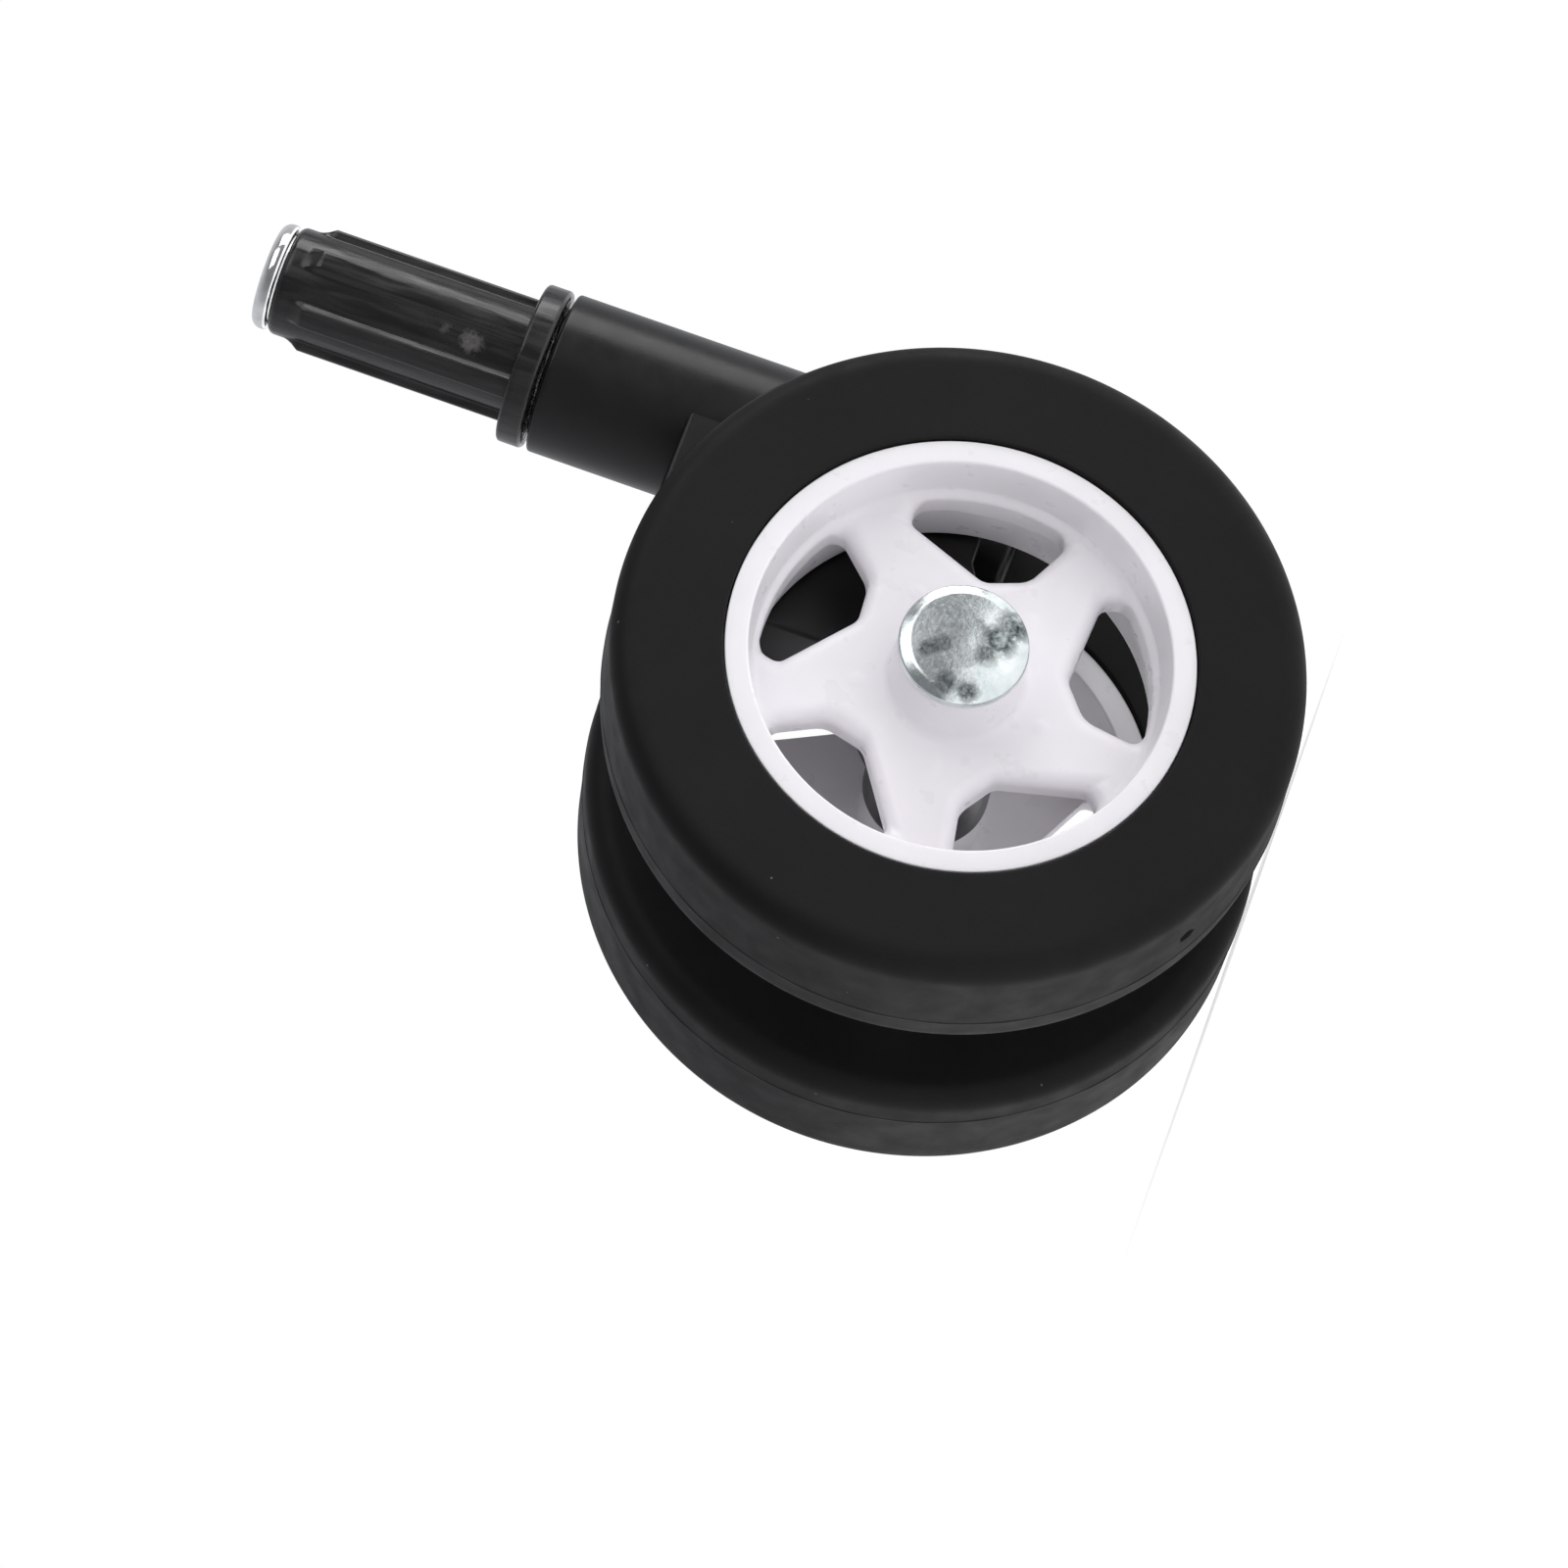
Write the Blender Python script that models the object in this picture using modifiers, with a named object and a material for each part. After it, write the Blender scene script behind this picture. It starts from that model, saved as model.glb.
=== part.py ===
"""Twin-wheel chair caster with a fluted push-in sleeve.

Frame: metres, +Z up along the swivel axis, origin at the centre of the sleeve collar's top face.
The axle lies along Y and trails behind the swivel axis, towards -X. Front pieces are on the -Y side.
"""

import math

import bmesh
import bpy
from mathutils import Matrix, Vector

MM = 0.001

# Clearances between pieces.
SEAT_GAP = 0.3 * MM
RUNNING_GAP = 0.1 * MM
END_PLAY = 0.15 * MM

# Where the axle lies, from the origin.
TRAIL = 23.0 * MM
AXLE_DROP = 46.3 * MM

# Wheels. The tyres stand apart by the wheel gap, with the fork between them.
WHEEL_RADIUS = 30.0 * MM
WHEEL_GAP = 14.0 * MM
TYRE_WIDTH = 14.3 * MM
TYRE_SHOULDER = 2.2 * MM
HUB_RADIUS = 20.2 * MM
HUB_INSET = 0.3 * MM
RIM_WALL = 2.05 * MM
RIM_DRAFT = 0.65 * MM
KEY_HEIGHT = 1.0 * MM
KEY_WIDTH = 4.0 * MM

# Flat spoked web of a hub, between the rim and the boss. Its depth is from the hub's outer face to its back.
WEB_DEPTH = 7.5 * MM
WEB_THICKNESS = 2.8 * MM
HUB_BOSS_INSET = 0.15 * MM
HUB_BOSS_DRAFT = 0.4 * MM
HUB_BOSS_RISE = 0.9 * MM
HUB_TUBE_WALL = 2.1 * MM

# Windows of the web. Angles are in degrees, from the forward direction to the first window's centre line.
WINDOW_COUNT = 5
WINDOW_INSET = 0.5 * MM
FRONT_WINDOW_ANGLE = 5.0
REAR_WINDOW_ANGLE = 54.0

# Outline of a window as shares of the web's radius: along its centre line, across it, and corner radius.
# The side by the rim is an arc between two angles in degrees, with a point at each step.
WINDOW_ARC = (-19, 18)
WINDOW_ARC_STEP = 4
WINDOW_CORNERS = (
    (0.891, 0.400, 0.086),
    (0.769, 0.400, 0.057),
    (0.563, -0.017, 0.091),
    (0.626, -0.229, 0.137),
    (0.886, -0.386, 0.069),
)

# Axle, its domed head, the push-on cap at its other end and the washers beside the fork.
AXLE_RADIUS = 3.0 * MM
HEAD_RADIUS = 5.6 * MM
HEAD_RIM = 1.0 * MM
HEAD_DOME = 0.6 * MM
CAP_SKIN = 0.7 * MM
WASHER_INSET = 0.2 * MM
WASHER_THICKNESS = 0.7 * MM

# Stem: pin, fluted sleeve with its collar, and the washer under the collar.
PIN_RADIUS = 4.0 * MM
PIN_HEAD_INSET = 0.1 * MM
PIN_HEAD_HEIGHT = 1.5 * MM
PIN_TAIL = 1.9 * MM
SLEEVE_WALL = 0.85 * MM
SLEEVE_LENGTH = 22.4 * MM
RIB_COUNT = 6
RIB_ANGLE = 33.0
RIB_WIDTH = 2.0 * MM
RIB_HEIGHT = 0.7 * MM
RIB_TOP_DROP = 1.8 * MM
COLLAR_THICKNESS = 2.4 * MM
EDGE_BREAK = 0.4 * MM
THRUST_THICKNESS = 0.6 * MM
COLLAR_GAP = 0.5 * MM

# Fork: the barrel round the pin, the block that joins it to the axle boss.
BARREL_WALL = 3.0 * MM
BARREL_LIP = 1.2 * MM
BARREL_BOTTOM_BELOW_AXLE = 0.2 * MM
BARREL_SKIRT = 2.2 * MM
BLOCK_SIDE_GAP = 0.5 * MM
BLOCK_TOP_ABOVE_AXLE = 30.3 * MM
BLOCK_BACK = 3.5 * MM
BLOCK_FILLET = 4.0 * MM
BOSS_WALL = 2.3 * MM
TYRE_CLEARANCE = 1.5 * MM
BARREL_FLAT_STEP = 0.15 * MM
RING_WIDTH = 1.2 * MM
RING_THICKNESS = 0.8 * MM

# Where the block's underside and back meet the boss: degrees round it, and the share of its radius.
UNDERSIDE_ANGLE = -69
BACK_ANGLE = 96
BLOCK_BITE = 0.98

# Segments round a full turn.
WHEEL_SEGMENTS = 60
STEM_SEGMENTS = 48
SHAFT_SEGMENTS = 32

WELD = 0.01 * MM
OVERLAP = 0.5 * MM
UP = Vector((0, 0, 1))

# Radii and levels that follow from the sizes above. Levels along the axle are from its middle.
AXLE_CENTRE = Vector((-TRAIL, 0, -AXLE_DROP))
TYRE_INNER_FACE = WHEEL_GAP / 2
TYRE_OUTER_FACE = TYRE_INNER_FACE + TYRE_WIDTH
TYRE_MIDDLE = TYRE_INNER_FACE + TYRE_WIDTH / 2
HUB_FACE = TYRE_OUTER_FACE - HUB_INSET
HUB_INNER_END = TYRE_INNER_FACE + HUB_INSET
RIM_INNER_RADIUS = HUB_RADIUS - RIM_WALL
WEB_RADIUS = RIM_INNER_RADIUS - RIM_DRAFT
WEB_BACK = HUB_FACE - WEB_DEPTH
WEB_FRONT = WEB_BACK + WEB_THICKNESS
WINDOW_REACH = WEB_RADIUS - WINDOW_INSET
BACK_WEB_RADIUS = WINDOW_REACH + RUNNING_GAP
BOSS_RADIUS = AXLE_RADIUS + SEAT_GAP + BOSS_WALL
BOSS_HALF_LENGTH = TYRE_INNER_FACE
BLOCK_HALF_WIDTH = TYRE_INNER_FACE - BLOCK_SIDE_GAP
WASHER_RADIUS = BOSS_RADIUS - WASHER_INSET
WASHER_INNER_END = BOSS_HALF_LENGTH + END_PLAY
WASHER_OUTER_END = WASHER_INNER_END + WASHER_THICKNESS
HUB_BORE = AXLE_RADIUS + RUNNING_GAP
HUB_TUBE_RADIUS = HUB_BORE + HUB_TUBE_WALL
HUB_TUBE_END = WASHER_OUTER_END + END_PLAY
HUB_BOSS_RADIUS = HEAD_RADIUS - HUB_BOSS_INSET
HUB_BOSS_FOOT = HUB_BOSS_RADIUS + HUB_BOSS_DRAFT
HUB_BOSS_TOP = HUB_FACE + HUB_BOSS_RISE
HEAD_SEAT = HUB_BOSS_TOP + END_PLAY
SLEEVE_BORE = PIN_RADIUS + RUNNING_GAP
SLEEVE_RADIUS = SLEEVE_BORE + SLEEVE_WALL
RIB_RADIUS = SLEEVE_RADIUS + RIB_HEIGHT
RIB_LENGTH = SLEEVE_LENGTH - RIB_TOP_DROP
PIN_HEAD_RADIUS = SLEEVE_RADIUS - PIN_HEAD_INSET
BARREL_BORE = PIN_RADIUS + SEAT_GAP
BARREL_RADIUS = BARREL_BORE + BARREL_WALL
COLLAR_RADIUS = BARREL_RADIUS
BARREL_TOP = -(COLLAR_THICKNESS + COLLAR_GAP)
BARREL_BOTTOM = -AXLE_DROP - BARREL_BOTTOM_BELOW_AXLE
RING_SEAT = BARREL_BOTTOM + BARREL_SKIRT
THRUST_TOP = -(COLLAR_THICKNESS + END_PLAY)
THRUST_SEAT = THRUST_TOP - THRUST_THICKNESS - END_PLAY
THRUST_RECESS = BARREL_RADIUS - BARREL_LIP
THRUST_RADIUS = THRUST_RECESS - END_PLAY
RING_RADIUS = BARREL_BORE + RING_WIDTH
RING_RECESS = RING_RADIUS + SEAT_GAP


def clear_scene():
    for obj in list(bpy.data.objects):
        bpy.data.objects.remove(obj)


def new_collection(name):
    group = bpy.data.collections.new(name)
    bpy.context.scene.collection.children.link(group)
    return group


def principled(name, colour, roughness, metallic):
    """A Principled material with one colour (linear RGB), roughness and metallic value."""
    material = bpy.data.materials.new(name)
    material.use_nodes = True
    shader = material.node_tree.nodes["Principled BSDF"]
    shader.inputs["Base Color"].default_value = (*colour, 1)
    shader.inputs["Roughness"].default_value = roughness
    shader.inputs["Metallic"].default_value = metallic
    return material


def glossy_black_plastic():
    return principled("glossy_black_plastic", (0.014, 0.014, 0.015), 0.3, 0)


def satin_black_plastic():
    return principled("satin_black_plastic", (0.018, 0.018, 0.019), 0.45, 0)


def white_plastic():
    return principled("white_plastic", (0.8, 0.8, 0.82), 0.3, 0)


def black_tread():
    return principled("black_tread", (0.022, 0.023, 0.023), 0.6, 0)


def chromed_steel():
    return principled("chromed_steel", (0.8, 0.8, 0.8), 0.08, 1)


def zinc_plated_steel():
    return principled("zinc_plated_steel", (0.62, 0.64, 0.65), 0.25, 1)


def as_cutter(obj):
    obj.hide_render = True
    obj.display_type = "WIRE"
    return obj


def turned(name, profile, segments, group, material=None):
    """A profile of (radius, height) points turned about local Z.

    The points run down the outer side. A profile that doesn't start on the axis is closed into a ring.
    """
    starts_on_axis = profile[0][0] == 0
    mesh = bpy.data.meshes.new(name)
    edges = [(i, i + 1) for i in range(len(profile) - 1)]
    if not starts_on_axis:
        edges.append((len(profile) - 1, 0))
    mesh.from_pydata([(radius, 0, height) for radius, height in profile], edges, [])
    obj = bpy.data.objects.new(name, mesh)
    group.objects.link(obj)
    screw = obj.modifiers.new("turn", "SCREW")
    screw.steps = segments
    screw.render_steps = segments
    screw.use_merge_vertices = True
    screw.merge_threshold = WELD
    if material:
        mesh.materials.append(material)
    return obj


def rounded(corners, steps=5):
    """Outline through corners (x, y, radius): each corner becomes an arc of its radius."""
    points = []
    for index, (x, y, radius) in enumerate(corners):
        corner = Vector((x, y))
        if not radius:
            points.append(corner)
            continue
        before = (Vector(corners[index - 1][:2]) - corner).normalized()
        after = (Vector(corners[(index + 1) % len(corners)][:2]) - corner).normalized()
        half = before.angle(after) / 2
        centre = corner + (before + after).normalized() * (radius / math.sin(half))
        arm = corner + before * (radius / math.tan(half)) - centre
        turn = math.copysign(math.pi - 2 * half, before.x * after.y - before.y * after.x)
        points += [centre + Matrix.Rotation(-turn * i / steps, 2) @ arm for i in range(steps + 1)]
    return points


def extruded(name, outline, thickness, placing, group):
    """The flat outline, filled and extruded to the thickness on both sides of its plane."""
    curve = bpy.data.curves.new(name, "CURVE")
    curve.dimensions = "2D"
    curve.fill_mode = "BOTH"
    curve.extrude = thickness / 2
    spline = curve.splines.new("POLY")
    spline.points.add(len(outline) - 1)
    spline.use_cyclic_u = True
    for point, place in zip(spline.points, outline):
        point.co = (place.x, place.y, 0, 1)
    flat = bpy.data.objects.new(name + "_curve", curve)
    group.objects.link(flat)
    flat.matrix_world = placing
    bpy.context.view_layer.update()
    graph = bpy.context.evaluated_depsgraph_get()
    mesh = bpy.data.meshes.new_from_object(flat.evaluated_get(graph))
    faces = bmesh.new()
    faces.from_mesh(mesh)
    bmesh.ops.remove_doubles(faces, verts=faces.verts, dist=WELD)
    bmesh.ops.recalc_face_normals(faces, faces=faces.faces)
    faces.to_mesh(mesh)
    faces.free()
    solid = bpy.data.objects.new(name, mesh)
    group.objects.link(solid)
    solid.matrix_world = flat.matrix_world
    bpy.data.objects.remove(flat)
    return solid


def combine(obj, operation, other):
    boolean = obj.modifiers.new(other.name, "BOOLEAN")
    boolean.operation = operation
    boolean.solver = "EXACT"
    boolean.object = other


def shade_round(obj):
    """Smooth shading, with edges sharper than 35 degrees kept crisp, on a mesh with no modifiers."""
    obj.data.shade_smooth()
    obj.data.set_sharp_from_angle(angle=math.radians(35))


def apply_modifiers(obj):
    """Replaces the object's mesh by what its modifiers make, so that it can be shaded smooth."""
    bpy.context.view_layer.update()
    graph = bpy.context.evaluated_depsgraph_get()
    mesh = bpy.data.meshes.new_from_object(obj.evaluated_get(graph))
    obj.modifiers.clear()
    obj.data = mesh
    shade_round(obj)
    return obj


def on_axle(obj, parent, side):
    """Places a piece on the axle with its local +Z pointing away from the middle: side -1 front, +1 rear."""
    obj.parent = parent
    obj.rotation_euler = (math.radians(-90 * side), 0, 0)
    return obj


def socket_sleeve(group, cutters, material):
    """Fluted sleeve with a collar, bored for the pin."""
    profile = [
        (SLEEVE_RADIUS - EDGE_BREAK, SLEEVE_LENGTH),
        (SLEEVE_RADIUS, SLEEVE_LENGTH - EDGE_BREAK),
        (SLEEVE_RADIUS, 0),
        (COLLAR_RADIUS - EDGE_BREAK, 0),
        (COLLAR_RADIUS, -EDGE_BREAK),
        (COLLAR_RADIUS, EDGE_BREAK - COLLAR_THICKNESS),
        (COLLAR_RADIUS - EDGE_BREAK, -COLLAR_THICKNESS),
        (SLEEVE_BORE, -COLLAR_THICKNESS),
        (SLEEVE_BORE, SLEEVE_LENGTH),
    ]
    sleeve = turned("socket_sleeve", profile, STEM_SEGMENTS, group, material)
    combine(sleeve, "UNION", sleeve_ribs(cutters))
    return apply_modifiers(sleeve)


def sleeve_ribs(cutters):
    """Straight ribs round the sleeve, rooted in the collar, each with a slanted upper end."""
    root = SLEEVE_RADIUS - SLEEVE_WALL / 2
    outline = [
        Vector((root, -OVERLAP)),
        Vector((RIB_RADIUS, -OVERLAP)),
        Vector((RIB_RADIUS, RIB_LENGTH - RIB_HEIGHT)),
        Vector((SLEEVE_RADIUS, RIB_LENGTH)),
        Vector((root, RIB_LENGTH)),
    ]
    upright = Matrix.Rotation(math.radians(90), 4, "X")
    rib = extruded("sleeve_ribs", outline, RIB_WIDTH, upright, cutters)
    rib.data.transform(rib.matrix_world)
    rib.matrix_world = Matrix()
    ribs = bmesh.new()
    for index in range(RIB_COUNT):
        first = len(ribs.verts)
        ribs.from_mesh(rib.data)
        ribs.verts.ensure_lookup_table()
        angle = math.radians(RIB_ANGLE) + index * math.tau / RIB_COUNT
        turn = Matrix.Rotation(angle, 3, "Z")
        bmesh.ops.rotate(ribs, verts=ribs.verts[first:], cent=(0, 0, 0), matrix=turn)
    ribs.to_mesh(rib.data)
    ribs.free()
    return as_cutter(rib)


def swivel_pin(group, material):
    """Steel pin whose head covers the sleeve's upper end. Its tail passes through the retaining ring."""
    head_bottom = SLEEVE_LENGTH + END_PLAY
    round_off = PIN_HEAD_HEIGHT / 2
    edge = [
        (PIN_HEAD_RADIUS - round_off + radius, height)
        for radius, height in dome(round_off, head_bottom + round_off, round_off)
    ]
    tail = RING_SEAT - PIN_TAIL
    profile = [
        (0, head_bottom + PIN_HEAD_HEIGHT),
        *edge,
        (PIN_HEAD_RADIUS, head_bottom),
        (PIN_RADIUS, head_bottom),
        (PIN_RADIUS, tail + EDGE_BREAK),
        (PIN_RADIUS - EDGE_BREAK, tail),
        (0, tail),
    ]
    return apply_modifiers(turned("swivel_pin", profile, SHAFT_SEGMENTS, group, material))


def flat_ring(name, outer, inner, top, thickness, segments, group, material):
    profile = [(outer, top), (outer, top - thickness), (inner, top - thickness), (inner, top)]
    return apply_modifiers(turned(name, profile, segments, group, material))


def fork_body(group, cutters, material):
    """Barrel with a block behind it and a boss for the axle, cleared where the tyres pass."""
    profile = [
        (0, BARREL_TOP),
        (BARREL_RADIUS - EDGE_BREAK / 2, BARREL_TOP),
        (BARREL_RADIUS, BARREL_TOP - EDGE_BREAK),
        (BARREL_RADIUS, BARREL_BOTTOM + EDGE_BREAK),
        (BARREL_RADIUS - EDGE_BREAK, BARREL_BOTTOM),
        (0, BARREL_BOTTOM),
    ]
    fork = turned("fork_body", profile, STEM_SEGMENTS, group, material)
    combine(fork, "UNION", fork_block(cutters))
    combine(fork, "DIFFERENCE", tyre_path(cutters))
    combine(fork, "UNION", axle_boss(cutters))
    combine(fork, "DIFFERENCE", axle_hole(cutters))
    combine(fork, "DIFFERENCE", pin_bore(cutters))
    return apply_modifiers(fork)


def on_boss(angle):
    """Corner of the block on the axle boss, just inside its surface."""
    reach = BLOCK_BITE * BOSS_RADIUS
    turn = math.radians(angle)
    return (reach * math.cos(turn) - TRAIL, reach * math.sin(turn) - AXLE_DROP, 0)


def fork_block(cutters):
    """Block between barrel and boss: upright back face, level top, underside sloping to the boss."""
    back = BLOCK_BACK - TRAIL
    top = BLOCK_TOP_ABOVE_AXLE - AXLE_DROP
    low = RING_SEAT + EDGE_BREAK
    corners = [
        (back, top, 0),
        (0, top, 0),
        (0, low, 0),
        (-BARREL_RADIUS, low, 0),
        on_boss(UNDERSIDE_ANGLE),
        on_boss(BACK_ANGLE),
        (back, BLOCK_BACK + BOSS_RADIUS - AXLE_DROP, BLOCK_FILLET),
    ]
    upright = Matrix.Rotation(math.radians(90), 4, "X")
    return as_cutter(extruded("fork_block", rounded(corners), 2 * BLOCK_HALF_WIDTH, upright, cutters))


def along_axle(radius, inner, outer, name, group):
    """Two discs on the axle's line, one on each side, reaching from inner to outer."""
    discs = bmesh.new()
    for side in (-1, 1):
        place = Matrix.Translation(AXLE_CENTRE + Vector((0, side * (inner + outer) / 2, 0)))
        place = place @ Matrix.Rotation(math.radians(90), 4, "X")
        bmesh.ops.create_cone(
            discs,
            cap_ends=True,
            segments=WHEEL_SEGMENTS,
            radius1=radius,
            radius2=radius,
            depth=outer - inner,
            matrix=place,
        )
    return mesh_object(name, discs, group)


def mesh_object(name, shape, group):
    mesh = bpy.data.meshes.new(name)
    shape.to_mesh(mesh)
    shape.free()
    obj = bpy.data.objects.new(name, mesh)
    group.objects.link(obj)
    return obj


def cylinder(name, radius, depth, segments, place, group):
    shape = bmesh.new()
    bmesh.ops.create_cone(
        shape, cap_ends=True, segments=segments, radius1=radius, radius2=radius, depth=depth, matrix=place
    )
    return mesh_object(name, shape, group)


def tyre_path(cutters):
    """Flattens the barrel beside the tyres, a small step outside the block's faces."""
    reach = WHEEL_RADIUS + TYRE_CLEARANCE
    inner = BLOCK_HALF_WIDTH + BARREL_FLAT_STEP
    return as_cutter(along_axle(reach, inner, inner + BARREL_RADIUS, "tyre_path", cutters))


def axle_boss(cutters):
    place = Matrix.Translation(AXLE_CENTRE) @ Matrix.Rotation(math.radians(90), 4, "X")
    return as_cutter(cylinder("axle_boss", BOSS_RADIUS, 2 * BOSS_HALF_LENGTH, SHAFT_SEGMENTS, place, cutters))


def axle_hole(cutters):
    place = Matrix.Translation(AXLE_CENTRE) @ Matrix.Rotation(math.radians(90), 4, "X")
    depth = 2 * (BOSS_HALF_LENGTH + OVERLAP)
    return as_cutter(cylinder("axle_hole", AXLE_RADIUS + SEAT_GAP, depth, SHAFT_SEGMENTS, place, cutters))


def pin_bore(cutters):
    """The pin's bore, with a recess for the thrust washer at its top and one for the retaining ring below."""
    profile = [
        (0, BARREL_TOP + OVERLAP),
        (THRUST_RECESS, BARREL_TOP + OVERLAP),
        (THRUST_RECESS, THRUST_SEAT),
        (BARREL_BORE, THRUST_SEAT),
        (BARREL_BORE, RING_SEAT),
        (RING_RECESS, RING_SEAT),
        (RING_RECESS, BARREL_BOTTOM - OVERLAP),
        (0, BARREL_BOTTOM - OVERLAP),
    ]
    return as_cutter(turned("pin_bore", profile, STEM_SEGMENTS, cutters))


def dome(radius, bottom, rise, steps=4):
    """Points (radius, height) of a shallow dome, from its top on the axis down to its edge."""
    angles = [math.pi / 2 * i / steps for i in range(steps + 1)]
    return [(radius * math.sin(a), bottom + rise * math.cos(a)) for a in angles]


def axle(group, parent, material):
    """Plain shaft with a domed head on the front side. Its rear end stops inside the cap."""
    rear_end = -(HEAD_SEAT + HEAD_RIM / 2)
    profile = dome(HEAD_RADIUS, HEAD_SEAT + HEAD_RIM, HEAD_DOME) + [
        (HEAD_RADIUS, HEAD_SEAT),
        (AXLE_RADIUS, HEAD_SEAT),
        (AXLE_RADIUS, rear_end),
        (0, rear_end),
    ]
    return on_axle(apply_modifiers(turned("axle", profile, SHAFT_SEGMENTS, group, material)), parent, -1)


def axle_cap(group, parent, material):
    """Domed push-on cap with a blind hole over the axle's end."""
    hole = AXLE_RADIUS + SEAT_GAP
    inside_top = HEAD_SEAT + HEAD_RIM + HEAD_DOME - CAP_SKIN
    profile = dome(HEAD_RADIUS, HEAD_SEAT + HEAD_RIM, HEAD_DOME) + [
        (HEAD_RADIUS, HEAD_SEAT),
        (hole, HEAD_SEAT),
        (hole, inside_top),
        (0, inside_top),
    ]
    return on_axle(apply_modifiers(turned("axle_cap", profile, SHAFT_SEGMENTS, group, material)), parent, 1)


def axle_washer(name, side, group, parent, material):
    """Washer between the fork's boss and a hub."""
    hole = AXLE_RADIUS + SEAT_GAP
    ring = flat_ring(
        name, WASHER_RADIUS, hole, WASHER_OUTER_END, WASHER_THICKNESS, SHAFT_SEGMENTS, group, material
    )
    return on_axle(ring, parent, side)


def window_outline(hand):
    """One opening of the web, centred on +X: blunt at one end and a straight edge to a narrow tail."""
    arc = [math.radians(angle) for angle in range(WINDOW_ARC[0], WINDOW_ARC[1] + 1, WINDOW_ARC_STEP)]
    outer = [(WINDOW_REACH * math.cos(angle), WINDOW_REACH * math.sin(angle), 0) for angle in arc]
    corners = [tuple(WEB_RADIUS * share for share in corner) for corner in WINDOW_CORNERS]
    return [Vector((point.x, hand * point.y)) for point in rounded(outer + corners)]


def windows(name, hand, angle, cutters):
    """The ring of openings, as one cutter."""
    depth = HUB_BOSS_TOP
    one = extruded(name, window_outline(hand), depth, Matrix.Translation(UP * HUB_FACE), cutters)
    one.data.transform(one.matrix_world)
    one.matrix_world = Matrix()
    ring = bmesh.new()
    for index in range(WINDOW_COUNT):
        first = len(ring.verts)
        ring.from_mesh(one.data)
        ring.verts.ensure_lookup_table()
        turn = Matrix.Rotation(hand * math.radians(angle) + index * math.tau / WINDOW_COUNT, 3, "Z")
        bmesh.ops.rotate(ring, verts=ring.verts[first:], cent=(0, 0, 0), matrix=turn)
    bmesh.ops.recalc_face_normals(ring, faces=ring.faces)
    ring.to_mesh(one.data)
    ring.free()
    return as_cutter(one)


def hub_profile():
    """Rim with a key ring for the tyre, flat web, boss in front and tube behind, as one closed section."""
    key_radius = HUB_RADIUS + KEY_HEIGHT
    return [
        (HUB_RADIUS, HUB_FACE),
        (HUB_RADIUS, TYRE_MIDDLE + KEY_WIDTH / 2),
        (key_radius, TYRE_MIDDLE + KEY_WIDTH / 2 - EDGE_BREAK),
        (key_radius, TYRE_MIDDLE - KEY_WIDTH / 2 + EDGE_BREAK),
        (HUB_RADIUS, TYRE_MIDDLE - KEY_WIDTH / 2),
        (HUB_RADIUS, HUB_INNER_END),
        (RIM_INNER_RADIUS, HUB_INNER_END),
        (BACK_WEB_RADIUS, WEB_BACK),
        (HUB_TUBE_RADIUS, WEB_BACK),
        (HUB_TUBE_RADIUS, HUB_TUBE_END),
        (HUB_BORE, HUB_TUBE_END),
        (HUB_BORE, HUB_BOSS_TOP),
        (HUB_BOSS_RADIUS, HUB_BOSS_TOP),
        (HUB_BOSS_FOOT, WEB_FRONT),
        (WEB_RADIUS, WEB_FRONT),
        (RIM_INNER_RADIUS, HUB_FACE),
    ]


def hub(name, side, hand, angle, group, cutters, parent, material):
    """A spoked hub. The rear one is the front one's mirror image."""
    wheel = turned(name, hub_profile(), WHEEL_SEGMENTS, group, material)
    combine(wheel, "DIFFERENCE", windows(name + "_windows", hand, angle, cutters))
    return on_axle(apply_modifiers(wheel), parent, side)


def tyre_profile():
    """Ring with round shoulders, grooved inside for the hub's key ring."""
    inside = HUB_RADIUS + SEAT_GAP
    groove = inside + KEY_HEIGHT
    half_groove = KEY_WIDTH / 2 + SEAT_GAP
    corner = WHEEL_RADIUS - TYRE_SHOULDER
    turns = [math.pi / 2 * i / 4 for i in range(5)]
    top = [
        (corner + TYRE_SHOULDER * math.sin(a), TYRE_OUTER_FACE - TYRE_SHOULDER * (1 - math.cos(a)))
        for a in turns
    ]
    bottom = [(radius, 2 * TYRE_MIDDLE - height) for radius, height in reversed(top)]
    return [
        *top,
        *bottom,
        (inside, TYRE_INNER_FACE),
        (inside, TYRE_MIDDLE - half_groove),
        (groove, TYRE_MIDDLE - half_groove + EDGE_BREAK),
        (groove, TYRE_MIDDLE + half_groove - EDGE_BREAK),
        (inside, TYRE_MIDDLE + half_groove),
        (inside, TYRE_OUTER_FACE),
    ]


def tyre(name, side, group, parent, material):
    ring = turned(name, tyre_profile(), WHEEL_SEGMENTS, group, material)
    return on_axle(apply_modifiers(ring), parent, side)


def axle_line(group):
    """Empty on the axle's centre, parent of everything that sits or turns on the axle."""
    empty = bpy.data.objects.new("axle_line", None)
    empty.location = AXLE_CENTRE
    group.objects.link(empty)
    return empty


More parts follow.
